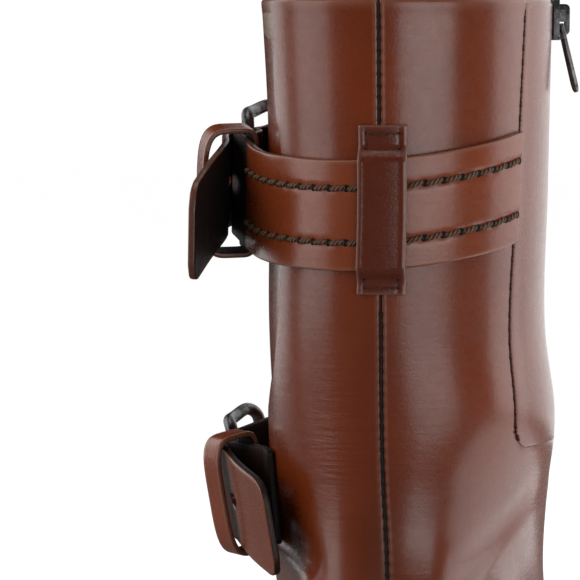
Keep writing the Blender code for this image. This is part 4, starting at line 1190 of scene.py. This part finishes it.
# size and sink of the dark drops that paint shade in the cord's stitch holes
PIT_SHADE_SIZE = (2.4, 2.6)
PIT_SHADE_SINK = 0.12
CHANNEL_WIDTH = 1.3
TIP_ROUND = 7.0
STRAP_RIM = 0.55


def strip_place(route, width, tip_round=0.0, cord_start=None):
    """Place function of a strap: a strip along its route, with cord channels if it has cord."""
    columns = len(route["ways"]) - 1

    def place(along, across, depth):
        stop = np.rint(along * columns).astype(int)
        half = np.full(len(stop), width / 2.0)
        if tip_round:
            left = np.clip(tip_round - (route["ways"][-1] - route["ways"][stop]), 0.0, tip_round)
            half = half - tip_round + np.sqrt(tip_round ** 2 - left ** 2)
        level = (2.0 * across - 1.0) * half
        stand = STRAP_THICK * depth
        if cord_start is not None:
            way = route["ways"][stop]
            pit = 0.5 + 0.5 * np.cos(2.0 * math.pi * (way - cord_start) / cord_pitch)
            sewn = ease((way - cord_start) / 2.0)
            for row in CORD_ROWS:
                channel = bell(level - row * width, CHANNEL_WIDTH)
                stand = stand - depth * sewn * channel * (0.35 + 0.25 * pit)
        points = route["points"][stop] + route["ups"][stop] * level[:, None]
        return points + route["outs"][stop] * stand[:, None]
    return place


def edge_wear(along, across, depth):
    """Polish rubbed off along the rims of a strap's grain side."""
    rim = np.minimum(across, 1.0 - across)
    return depth * 0.55 * bell(rim, 0.022)


def even_crinkle(along, across, depth):
    return np.full(len(along), 0.4)


def painted_shade_along(route, ways, shares):
    """Painted shade by the buckle and keeper, kept in the seam attribute: its share at some ways along the
    strap.
    """
    def mark(along, across, depth):
        return np.interp(along * route["ways"][-1], ways, shares)
    return mark


# dark: the painted shade along the strap, kept in its seam attribute
def strap_strip(route, width, rows, tip_round, cord_start, dark):
    bm = bent_grid(len(route["ways"]) - 1, rows, strip_place(route, width, tip_round, cord_start), True,
                   {"wear": edge_wear, "crinkle": even_crinkle, "seam": dark})
    round_edges(bm, STRAP_RIM)
    return bm


calf = STRAPS["calf"]
cord_end = carriers["calf"]["ways"][-1] - CORD_STOP
cord_pitch = (cord_end - CORD_START) / round((cord_end - CORD_START) / CORD_PITCH)
# painted shade on the back strap from its fold round the bar to where the cord starts
calf_painted_shade = painted_shade_along(carriers["calf"], (CORD_START, CORD_START + 4.0), (0.95, 0.0))
calf_strip = strap_strip(carriers["calf"], calf["width"], 44, 0.0, CORD_START, calf_painted_shade)
new_piece("calf_back_strap_leather", calf_strip, "strap_leather", strap_hide, cut_edge, shaded_flesh_side,
          replaces=("calf_back_strap",))
# the whole buckle tab is painted in shade, as it lies behind the tail
tab_painted_shade = painted_shade_along(carriers["ankle"], (0.0, 1.0), (0.95, 0.95))
tab_strip = strap_strip(carriers["ankle"], STRAPS["ankle"]["width"], 16, 0.0, None, tab_painted_shade)
new_piece("ankle_buckle_tab_leather", tab_strip, "strap_leather", strap_hide, shaded_flesh_side, shaded_flesh_side,
          replaces=("ankle_buckle_tab",))


# %% Cord rows on the back strap
cord_bm = bmesh.new()
hole_shade_bm = bmesh.new()
cord_ways = np.arange(CORD_START, cord_end + cord_pitch / 2.0, cord_pitch)
for row in CORD_ROWS:
    points, alongs, ups, outs = at_way(carriers["calf"], cord_ways)
    line = points + ups * row * calf["width"] + outs * (STRAP_THICK - THREAD_SINK)
    slant = ups * CORD_LEAN
    starts = line[:-1] - slant[:-1] + alongs[:-1] * CORD_INSET
    ends = line[1:] + slant[1:] - alongs[1:] * CORD_INSET
    add_stitches(cord_bm, starts, ends, outs[:-1], CORD_RADIUS,
                 lobes=3, winds=3.6, arch=0.35, steps=24, around=12)
    add_shade_drops(hole_shade_bm, line - outs * PIT_SHADE_SINK, alongs, outs, *PIT_SHADE_SIZE)
new_piece("cord_stitches", close_stitches(cord_bm), "strap_leather", cord_thread)
new_piece("cord_hole_shades", hole_shade_bm, "strap_leather", hole_shade)


# %% [markdown]
# The holed straps have oval holes punched through, so those are cut with a Boolean on the finished strip. The
# prong goes through the middle one. Its place is where the prong's line crosses the strap.

# %% Holed straps
HOLE_SIZE = (8.5, 4.6)
HOLE_PITCH = 21.0
PUNCH_DEPTH = 7.2
PRONG_RADIUS = 1.2
HOOK = BAR_RADIUS + GAP + PRONG_RADIUS


def prong_way(route, place):
    """Way along the holed strap to where the prong goes through it."""
    root = place["bar"] + place["inward"] * HOOK
    tip = place["far_bar"] - place["inward"] * HOOK
    middles = route["points"] + route["outs"] * STRAP_THICK / 2.0 - root
    line = unit(tip - root)
    apart = np.linalg.norm(middles - np.outer(middles @ line, line), axis=1)
    between = (middles @ line > 0.0) & (middles @ line < np.linalg.norm(tip - root))
    return float(route["ways"][np.argmin(np.where(between, apart, ELSEWHERE))])


def punched(piece, cutter_bm):
    """Cut a piece with a hidden cutter and keep the result as its mesh."""
    cutter_mesh = bpy.data.meshes.new("punch")
    cutter_bm.to_mesh(cutter_mesh)
    cutter_bm.free()
    cutter = bpy.data.objects.new("punch", cutter_mesh)
    bpy.context.scene.collection.objects.link(cutter)
    tool = piece.modifiers.new("punch", "BOOLEAN")
    tool.solver = "EXACT"
    tool.object = cutter
    held = piece.evaluated_get(bpy.context.evaluated_depsgraph_get())
    whole = bpy.data.meshes.new_from_object(held)
    piece.modifiers.remove(tool)
    piece.data = whole
    bpy.data.objects.remove(cutter)
    print(piece.name, "punched:", len(whole.polygons), "faces")


for name, strap in STRAPS.items():
    route = holed[name]
    over_bar = route["ways"][np.argmin(np.linalg.norm(route["points"] - places[name]["bar"], axis=1))]
    past_keeper = over_bar + strap["keeper_back"] + 4.0
    # painted shade on the holed strap by the bar and in the keeper
    dark = painted_shade_along(route, (over_bar - 8.0, over_bar, past_keeper, past_keeper + 9.0), (0.0, 0.8, 0.8, 0.0))
    strip = strap_strip(route, strap["holed_width"], 16, TIP_ROUND, None, dark)
    piece = new_piece(strap["holed"] + "_leather", strip, "strap_leather", strap_hide, strap["edge"],
                      shaded_flesh_side, replaces=(strap["holed"],))
    hole_ways = prong_way(route, places[name]) + HOLE_PITCH * np.arange(-2, 3)
    punch = bmesh.new()
    for middle, along, up, out in zip(*at_way(route, hole_ways)):
        made = bmesh.ops.create_cone(punch, cap_ends=True, segments=24, radius1=0.5, radius2=0.5,
                                     depth=PUNCH_DEPTH)
        axes = np.array((along * HOLE_SIZE[0], up * HOLE_SIZE[1], out))
        for vert in made["verts"]:
            vert.co = (np.array(vert.co) @ axes + middle + out * STRAP_THICK / 2.0) * MM
    bmesh.ops.recalc_face_normals(punch, faces=punch.faces)
    punched(piece, punch)


# %% [markdown]
# Buckle frames and prongs are round bars. The solids already have their path, so a merged copy with a
# subdivision surface rounds them. The keeper loops are short wide bands, made as the solids are made but with
# closer stops and rounded rims.

# %% Buckle metal
ROUNDINGS = 2


def smoothed_copy(node, name, slot, finish):
    """A rounded copy of a solid's own mesh."""
    bm = bmesh.new()
    bm.from_mesh(nodes[node].data)
    bmesh.ops.remove_doubles(bm, verts=bm.verts, dist=1e-6)
    bmesh.ops.join_triangles(bm, faces=bm.faces, angle_face_threshold=0.7, angle_shape_threshold=0.7)
    piece = new_piece(name, bm, slot, finish, replaces=(node,))
    rounding = piece.modifiers.new("rounding", "SUBSURF")
    rounding.levels = ROUNDINGS
    rounding.render_levels = ROUNDINGS


for name in STRAPS:
    for bar in ("_buckle_frame", "_buckle_prong"):
        smoothed_copy(name + bar, name + bar + "_metal", "buckle_metal", buckle_metal)

# %% Keeper loops
KEEPER_BAND = 10.0
KEEPER_THICK = 1.8
KEEPER_OVER = 3.5
KEEPER_ROOM = 0.9
KEEPER_BOW = 0.5
KEEPER_FLAT = 0.22
KEEPER_RIM = 0.45


def loop_place(strap, place, route):
    """Place function of a keeper loop: flat behind the carrier, bowed out over the tail."""
    tail = route["points"][np.argmin(np.linalg.norm(route["points"] - place["bar"], axis=1)):]
    beside = tail - place["bar"]
    back = -(beside @ place["forward"])
    under_loop = np.abs(back - strap["keeper_back"]) < KEEPER_BAND / 2.0 + STRAP_THICK
    inside = BAR_RADIUS - 2.0 * GAP
    half = (np.max((beside @ place["out"])[under_loop]) + KEEPER_OVER - inside) / 2.0
    middle = place["bar"] - place["forward"] * strap["keeper_back"] + place["out"] * (inside + half)

    def ring(angle):
        bowed = np.cos(angle) > 0.0
        power = np.where(bowed, KEEPER_BOW, KEEPER_FLAT)
        side = np.sign(np.cos(angle)) * np.abs(np.cos(angle)) ** power
        side = side * half / np.where(bowed, KEEPER_ROOM, 1.0)
        level = np.sign(np.sin(angle)) * np.abs(np.sin(angle)) ** power * strap["keeper_half"]
        return np.stack((side, level), axis=-1)

    def place_loop(along, across, depth):
        angle = 2.0 * math.pi * along
        way = unit(ring(angle + 0.01) - ring(angle - 0.01))
        away = np.stack((way[:, 1], -way[:, 0]), axis=-1)
        side, level = (ring(angle) + away * KEEPER_THICK * depth[:, None]).T
        points = middle + place["out"] * side[:, None] + place["up"] * level[:, None]
        return points + place["forward"] * ((across - 0.5) * KEEPER_BAND)[:, None]
    return place_loop


for name, strap in STRAPS.items():
    loop = bent_grid(96, 6, loop_place(strap, places[name], holed[name]), True,
                     {"wear": edge_wear, "crinkle": even_crinkle})
    round_edges(loop, KEEPER_RIM)
    new_piece(name + "_strap_keeper_leather", loop, "strap_leather", strap_hide, cut_edge, shaded_flesh_side,
              replaces=(name + "_strap_keeper",))


# %% [markdown]
# ## Back keeper
# The upright keeper holds the strap to the back seam. Each end is sewn down with a small box of stitches, its
# long edges are rubbed and stand a little proud, and between the ends it bows over the strap.

# %% Back keeper
KEEPER_HALF = 7.7
BACK_KEEPER_THICK = 1.8
KEEPER_LINE = np.array(((189.9, 0.0), (193.4, 0.0), (199.2, 1.0),
                        (232.8, 1.0), (238.6, 0.0), (244.6, 0.0)))
RIM_PROUD = 0.35
BOX_SINK = 0.1
BOX_THREADS = (0.42, 0.2)       # the thread along the keeper's end, and that of the other three sides
# BOX_PIT_SHADE: size of the dark drops that paint shade in the box stitches' holes
BOX_PIT_SHADE = 1.0
SEWN_BOXES = ((192.2, 195.2), (236.9, 242.0))
BOX_HALF = 5.2
KEEPER_BEND = 45.5              # radius of the shaft behind the keeper
over_strap = GAP + STRAP_THICK + 2.0 * GAP


def keeper_stand(height):
    """How far the keeper's inner face stands off the upper."""
    return GAP + over_strap * ease(np.interp(height, KEEPER_LINE[:, 0], KEEPER_LINE[:, 1]))


def keeper_turn(side, stand):
    """Turn of a point beside the back seam, so that the keeper stays as wide where it stands off."""
    return side / (2.0 * math.pi * (KEEPER_BEND + stand))


def keeper_place(along, across, depth):
    height = KEEPER_LINE[0, 0] + (KEEPER_LINE[-1, 0] - KEEPER_LINE[0, 0]) * across
    side = (2.0 * along - 1.0) * KEEPER_HALF
    stand = keeper_stand(height) + BACK_KEEPER_THICK * depth
    stand = stand + depth * RIM_PROUD * bell(np.abs(side) - KEEPER_HALF + 1.0, 0.8)
    for low, high in SEWN_BOXES:
        within = (height > low - 1.5) & (height < high + 1.5) & (np.abs(side) < BOX_HALF + 1.0)
        nearer = np.minimum(np.abs(height - low), np.abs(height - high))
        line = np.minimum(np.abs(np.abs(side) - BOX_HALF), nearer)
        stand = stand - depth * BOX_SINK * np.where(within, bell(line, 0.7), 0.0)
    return on_shaft(keeper_turn(side, stand), height, stand)


def keeper_wear(along, across, depth):
    rim = np.minimum(along, 1.0 - along) * 2.0 * KEEPER_HALF
    ends = np.minimum(across, 1.0 - across) * (KEEPER_LINE[-1, 0] - KEEPER_LINE[0, 0])
    return depth * (0.75 * bell(rim, 0.7) + 0.5 * bell(ends, 0.7))


keeper = bent_grid(40, 110, keeper_place, True, {"wear": keeper_wear, "crinkle": even_crinkle})
round_edges(keeper, radius=0.4)
new_piece("back_keeper_leather", keeper, "keeper_leather", keeper_hide, cut_edge, shaded_flesh_side,
          replaces=("back_keeper",))

box_bm = bmesh.new()
box_hole_shades = bmesh.new()
for low, high in SEWN_BOXES:
    corners = ((-BOX_HALF, low), (BOX_HALF, low), (BOX_HALF, high), (-BOX_HALF, high), (-BOX_HALF, low))
    for (side_a, height_a), (side_b, height_b) in zip(corners[:-1], corners[1:]):
        count = 4 if side_a != side_b else 2
        sides = np.linspace(side_a, side_b, count + 1)
        heights = np.linspace(height_a, height_b, count + 1)
        outer_edge = height_a == height_b and height_a in (SEWN_BOXES[0][0], SEWN_BOXES[1][1])
        thick = BOX_THREADS[0] if outer_edge else BOX_THREADS[1]
        stands = keeper_stand(heights) + BACK_KEEPER_THICK - THREAD_SINK
        turns = keeper_turn(sides, stands)
        line = on_shaft(turns, heights, stands)
        outs = outward(turns, rise_at(turns, heights))
        add_stitches(box_bm, line[:-1], line[1:], outs[:-1], thick,
                     lobes=2, winds=1.5, arch=0.3, steps=8, around=7)
        along = unit(line[[-1, -1]] - line[[0, 0]])
        add_shade_drops(box_hole_shades, line[[0, -1]], along, outs[[0, -1]], BOX_PIT_SHADE, BOX_PIT_SHADE)
new_piece("back_keeper_stitches", close_stitches(box_bm), "keeper_leather", guard_thread)
new_piece("back_keeper_hole_shades", box_hole_shades, "keeper_leather", hole_shade)


# %% [markdown]
# ## Zip
# The guard is one grid whose middle columns are cut out above the zip's foot, which leaves the slot. A row of
# stitches lies in the groove round its edge. The chain is a tape with two rows of teeth, and slider and pull
# tab keep the solids' form with eased edges.

# %% Zip guard
GUARD_FACE = 0.6                # its outer face off the shaft, level with the raised skin beside it
GUARD_THICK = 0.45
GUARD_ROUND = 0.28              # how far its face falls off toward its edge
ZIP_HALF = 3.2
ZIP_FOOT = 147.0
ZIP_HEAD = 268.8
BACK_COLUMNS = 30
SLOT_COLUMNS = 2
FRONT_COLUMNS = 10
GUARD_COLUMNS = BACK_COLUMNS + SLOT_COLUMNS + FRONT_COLUMNS
GUARD_FOOT_ROWS = 16
GUARD_ROWS = 90


def guard_height(across):
    row = across * GUARD_ROWS
    lower = (np.minimum(row, GUARD_FOOT_ROWS) / GUARD_FOOT_ROWS) ** 1.6
    upper = np.clip((row - GUARD_FOOT_ROWS) / (GUARD_ROWS - GUARD_FOOT_ROWS), 0.0, 1.0)
    slot_foot = ZIP_FOOT - GAP
    return PLACKET_FOOT + (slot_foot - PLACKET_FOOT) * lower + (PLACKET_TOP - slot_foot) * upper


def guard_place(along, across, depth):
    height = guard_height(across)
    back, front = guard_edges(height)
    zip_middle = turn_at(ZIP_TURNS, height)
    slot = shaft_turns(ZIP_HALF + GAP)
    column = along * GUARD_COLUMNS
    turn = back + (zip_middle - slot - back) * np.clip(column / BACK_COLUMNS, 0.0, 1.0)
    turn = turn + 2.0 * slot * np.clip((column - BACK_COLUMNS) / SLOT_COLUMNS, 0.0, 1.0)
    turn = turn + (front - zip_middle - slot) * np.clip(
        (column - BACK_COLUMNS - SLOT_COLUMNS) / FRONT_COLUMNS, 0.0, 1.0)
    outside = guard_distance(turn, surface(turn, rise_at(turn, height)))
    stand = GUARD_FACE - GUARD_THICK * (1.0 - depth) - GUARD_ROUND * depth * bell(outside, 0.9)
    return on_shaft(turn, height, stand * guard_rise(height))


def beside_slot(along, across):
    in_slot = BACK_COLUMNS < along * GUARD_COLUMNS < BACK_COLUMNS + SLOT_COLUMNS
    return not (in_slot and across * GUARD_ROWS > GUARD_FOOT_ROWS)


guard = bent_grid(GUARD_COLUMNS, GUARD_ROWS, guard_place, True, keep=beside_slot)
round_edges(guard, radius=0.2)
new_piece("zip_guard", guard, "chestnut_leather", upper_hide, upper_hide, shaded_flesh_side,
          replaces=("zip_placket",))

# %% Zip guard stitches
GUARD_PITCH = 4.6
GUARD_THREAD = 0.55             # radius of the thread in the groove, its level and its gap at each end
THREAD_STAND = 0.2
THREAD_INSET = 0.8
# size and stand of the dark drops that paint shade in the guard's stitch notches
NOTCH_SHADE_SIZE = (2.4, 1.3)
NOTCH_SHADE_STAND = 0.3
edge_levels = np.linspace(PLACKET_TOP - 1.0, PLACKET_FOOT, 500)
edge_back, edge_front = guard_edges(edge_levels)
foot_turns = np.linspace(edge_back[-1], edge_front[-1], 60)[1:-1]
outline_turns = np.concatenate((edge_back, foot_turns, edge_front[::-1]))
outline_levels = np.concatenate((edge_levels, np.full(len(foot_turns), PLACKET_FOOT), edge_levels[::-1]))
outline_ways = ways_of(on_shaft(outline_turns, outline_levels))


def on_outline(ways, stand):
    """Points in the groove round the guard, and their outward directions."""
    turns = np.interp(ways, outline_ways, outline_turns)
    levels = np.interp(ways, outline_ways, outline_levels)
    return on_shaft(turns, levels, stand), outward(turns, rise_at(turns, levels))


groove_ways = np.arange(2.0, outline_ways[-1] - GUARD_PITCH, GUARD_PITCH)
along_foot = np.interp(groove_ways, outline_ways, outline_levels) < PLACKET_FOOT + 3.0
groove_ways = groove_ways[~along_foot]
groove_starts, groove_outs = on_outline(groove_ways + THREAD_INSET, THREAD_STAND)
groove_ends = on_outline(groove_ways + GUARD_PITCH - THREAD_INSET, THREAD_STAND)[0]
guard_bm = add_stitches(bmesh.new(), groove_starts, groove_ends, groove_outs, GUARD_THREAD,
                        lobes=2, winds=1.5, arch=0.3, steps=7, around=7)
new_piece("zip_guard_stitches", close_stitches(guard_bm), "chestnut_leather", guard_thread)
notch_points, notch_outs = on_outline(groove_ways, NOTCH_SHADE_STAND)
notch_alongs = unit(np.gradient(notch_points, axis=0))
notch_shade_bm = add_shade_drops(bmesh.new(), notch_points, notch_alongs, notch_outs, *NOTCH_SHADE_SIZE)
new_piece("zip_guard_hole_shades", notch_shade_bm, "chestnut_leather", hole_shade)

# %% Zip chain
TAPE_STAND = 0.1
TAPE_THICK = 0.4
TOOTH_PITCH = 1.7
TOOTH_STAND = 0.4
TOOTH_SIZE = (2.6, 1.1, 1.05)
TOOTH_NARROW = 0.75             # share of its height that a tooth keeps at its tip
TOOTH_BEVEL = 0.16


def tape_place(along, across, depth):
    height = ZIP_FOOT + (ZIP_HEAD - ZIP_FOOT) * across
    turn = turn_at(ZIP_TURNS, height) + shaft_turns(ZIP_HALF * (2.0 * along - 1.0))
    return on_shaft(turn, height, TAPE_STAND + TAPE_THICK * depth)


tape_bm = bent_grid(6, 60, tape_place, True)
bmesh.ops.recalc_face_normals(tape_bm, faces=tape_bm.faces)
new_piece("zip_tape", tape_bm, "zip_metal", zip_tape, replaces=("zip_chain",))

teeth_bm = bmesh.new()
tooth_levels = np.arange(ZIP_FOOT + 1.0, ZIP_HEAD, TOOTH_PITCH)
for side, shift in ((-1.0, 0.0), (1.0, TOOTH_PITCH / 2.0)):
    heights = tooth_levels + shift
    turns = turn_at(ZIP_TURNS, heights)
    outs = outward(turns, rise_at(turns, heights))
    middles = on_shaft(turns + shaft_turns(side), heights, TOOTH_STAND)
    for middle, out in zip(middles, outs):
        along = unit(np.cross((0.0, 0.0, 1.0), out))
        axes = np.array((along, out, np.cross(out, along))) * np.array(TOOTH_SIZE)[:, None]
        for vert in bmesh.ops.create_cube(teeth_bm, size=1.0)["verts"]:
            narrow = TOOTH_NARROW if vert.co.x * side < 0.0 else 1.0
            vert.co = (np.array((vert.co.x, vert.co.y, vert.co.z * narrow)) @ axes + middle) * MM
bmesh.ops.bevel(teeth_bm, geom=teeth_bm.edges[:], offset=TOOTH_BEVEL * MM, offset_type="OFFSET", segments=1,
                profile=0.5, affect="EDGES", material=-1)
bmesh.ops.recalc_face_normals(teeth_bm, faces=teeth_bm.faces)
new_piece("zip_teeth", teeth_bm, "zip_metal", zip_metal)


# %% Slider and pull tab
SLIDER_LEVEL = 278.3
CROWN_ROUND = 1.6
FLAT_ANGLE = math.radians(4.0)
SHARP_ANGLE = math.radians(35.0)


def is_crown(edge, crown, reach):
    """Whether a sharp level edge lies at a solid's furthest reach in a direction."""
    level = abs((edge.verts[0].co - edge.verts[1].co).normalized().z) < 0.1
    furthest = min(vert.co.dot(crown) for vert in edge.verts) > reach - 0.2 * MM
    return level and furthest and edge.calc_face_angle() > SHARP_ANGLE


def ease_edges(bm, edges, radius, segments):
    bmesh.ops.bevel(bm, geom=edges, offset=radius * MM, offset_type="OFFSET", segments=segments, profile=0.5,
                    affect="EDGES", material=-1, clamp_overlap=True)


def eased_copy(node, name, slot, finish, radius, body="boot", crown=None):
    """A copy of a solid's mesh with its sharp edges eased, and those that face a crown direction rounded."""
    bm = bmesh.new()
    bm.from_mesh(nodes[node].data)
    bmesh.ops.remove_doubles(bm, verts=bm.verts, dist=1e-6)
    bmesh.ops.dissolve_limit(bm, angle_limit=FLAT_ANGLE, verts=bm.verts, edges=bm.edges)
    if crown is not None:
        reach = max(vert.co.dot(crown) for vert in bm.verts)
        ease_edges(bm, [edge for edge in bm.edges if is_crown(edge, crown, reach)], CROWN_ROUND, 4)
    sharp = [edge for edge in bm.edges if edge.is_manifold and edge.calc_face_angle() > SHARP_ANGLE]
    ease_edges(bm, sharp, radius, 2)
    new_piece(name, bm, slot, finish, body=body, replaces=(node,))


slider_turn = turn_at(ZIP_TURNS, SLIDER_LEVEL)
slider_out = Vector(outward(slider_turn, rise_at(slider_turn, SLIDER_LEVEL)))
eased_copy("zip_slider", "zip_slider_metal", "zip_metal", zip_metal, 0.35, crown=slider_out)
eased_copy("zip_pull_tab", "zip_pull_tab_metal", "zip_metal", tab_metal, 0.3, body="zip_pull")


# %% [markdown]
# ## Sole
# Under the upper lie welt, outsole, stacked heel and top lift. Each is a level layer inside an outline that
# follows the upper's lower edge, with rounded rims. The welt shows a line of stitches round the forefoot.

# %% Sole layers
WELT_EDGES = (1.6, 4.5)
OUTSOLE_EDGES = (1.0, 3.9)
INSOLE_INSET = WALL + 1.2
INSOLE_RISE = 2.5
HEEL_TAPER = 0.93
TOP_LIFT = 6.0
HEEL_ANGLE = math.pi / 3.0


def sole_outline(angle, edges):
    """The upper's lower edge, moved level outward more at the toe than at the heel."""
    turn = angle / (2.0 * math.pi)
    way = surface(turn + 1e-3, 0.0) - surface(turn - 1e-3, 0.0)
    normal = unit(np.stack((way[..., 1], -way[..., 0], np.zeros(turn.shape)), axis=-1))
    share = (1.0 - np.cos(angle)) / 2.0
    return surface(turn, 0.0) + normal * (edges[0] + (edges[1] - edges[0]) * share)[..., None]


def layer_place(edges, drop, thick):
    """Place function of a layer from side to side, a drop below the upper's edge."""
    def place(along, across, depth):
        angle = along * math.pi
        inner = sole_outline(angle, edges)
        outer = sole_outline(-angle, edges)
        points = outer + (inner - outer) * across[:, None]
        points[:, 2] -= drop + thick * (1.0 - depth)
        return points
    return place


def heel_place(top, foot):
    """Place function of a heel layer between two levels, tapered toward the floor."""
    def place(along, across, depth):
        angle = along * HEEL_ANGLE
        inner = sole_outline(angle, OUTSOLE_EDGES)
        outer = sole_outline(-angle, OUTSOLE_EDGES)
        points = outer + (inner - outer) * across[:, None]
        seat = points[:, 2] - BALL_LEVEL - GAP
        level = foot + (np.where(top > 0.0, top, seat) - foot) * depth
        share = 1.0 - (1.0 - HEEL_TAPER) * (1.0 - level / HEEL_SEAT)
        share = np.where((top <= 0.0) & (depth > 0.5), 1.0, share)
        return np.stack((points[:, 0] * share, points[:, 1] * share, level), axis=-1)
    return place


def welt_place(along, across, depth):
    angle = along * 2.0 * math.pi
    inner = sole_outline(angle, (-WALL, -WALL))
    outer = sole_outline(angle, WELT_EDGES)
    points = outer + (inner - outer) * across[:, None]
    points[:, 2] -= GAP + WELT_THICK * (1.0 - depth)
    return points


def sole_layer(name, columns, rows, place, slot, finish, node, rim):
    bm = bent_grid(columns, rows, place, True)
    round_edges(bm, radius=rim)
    new_piece(name, bm, slot, finish, finish, finish, replaces=(node,))


outsole_drop = GAP + WELT_THICK + GAP
insole_place = layer_place((-INSOLE_INSET, -INSOLE_INSET), -INSOLE_RISE, INSOLE_RISE + GAP + WELT_THICK)
sole_layer("insole_board", 90, 10, insole_place, "insole_leather", lining_hide, "insole", 0.6)
sole_layer("outsole_layer", 120, 10, layer_place(OUTSOLE_EDGES, outsole_drop, OUTSOLE_THICK), "sole_rubber",
           sole_rubber, "outsole", 0.9)
sole_layer("heel_stack", 50, 10, heel_place(0.0, TOP_LIFT + GAP), "stacked_heel", stacked_leather,
           "heel", 0.3)
sole_layer("heel_top_lift_layer", 50, 10, heel_place(TOP_LIFT, 0.0), "sole_rubber", sole_rubber,
           "heel_top_lift", 0.7)
sole_layer("welt_strip", 200, 2, welt_place, "stacked_heel", welt_leather, "welt", 0.5)

# %% Welt stitches
WELT_PITCH = 4.2
WELT_THREAD = 0.5
WELT_ROW = (0.3, 2.4)           # how far outside the upper's edge the row runs, at the heel and at the toe
WELT_SPAN = (0.22 * math.pi, 1.78 * math.pi)
fine_angles = np.linspace(*WELT_SPAN, 1200)
welt_line = sole_outline(fine_angles, WELT_ROW) - (0.0, 0.0, GAP)
welt_ways = ways_of(welt_line)
welt_starts = np.arange(0.0, welt_ways[-1] - WELT_PITCH, WELT_PITCH)


def on_welt(ways):
    return np.column_stack([np.interp(ways, welt_ways, welt_line[:, axis]) for axis in range(3)])


welt_bm = bmesh.new()
upward = np.tile((0.0, 0.0, 1.0), (len(welt_starts), 1))
add_stitches(welt_bm, on_welt(welt_starts + 0.3), on_welt(welt_starts + WELT_PITCH - 0.5), upward,
             WELT_THREAD, lobes=3, winds=2.0, arch=0.3, steps=9, around=7)
new_piece("welt_stitches", close_stitches(welt_bm), "stacked_heel", cord_thread)
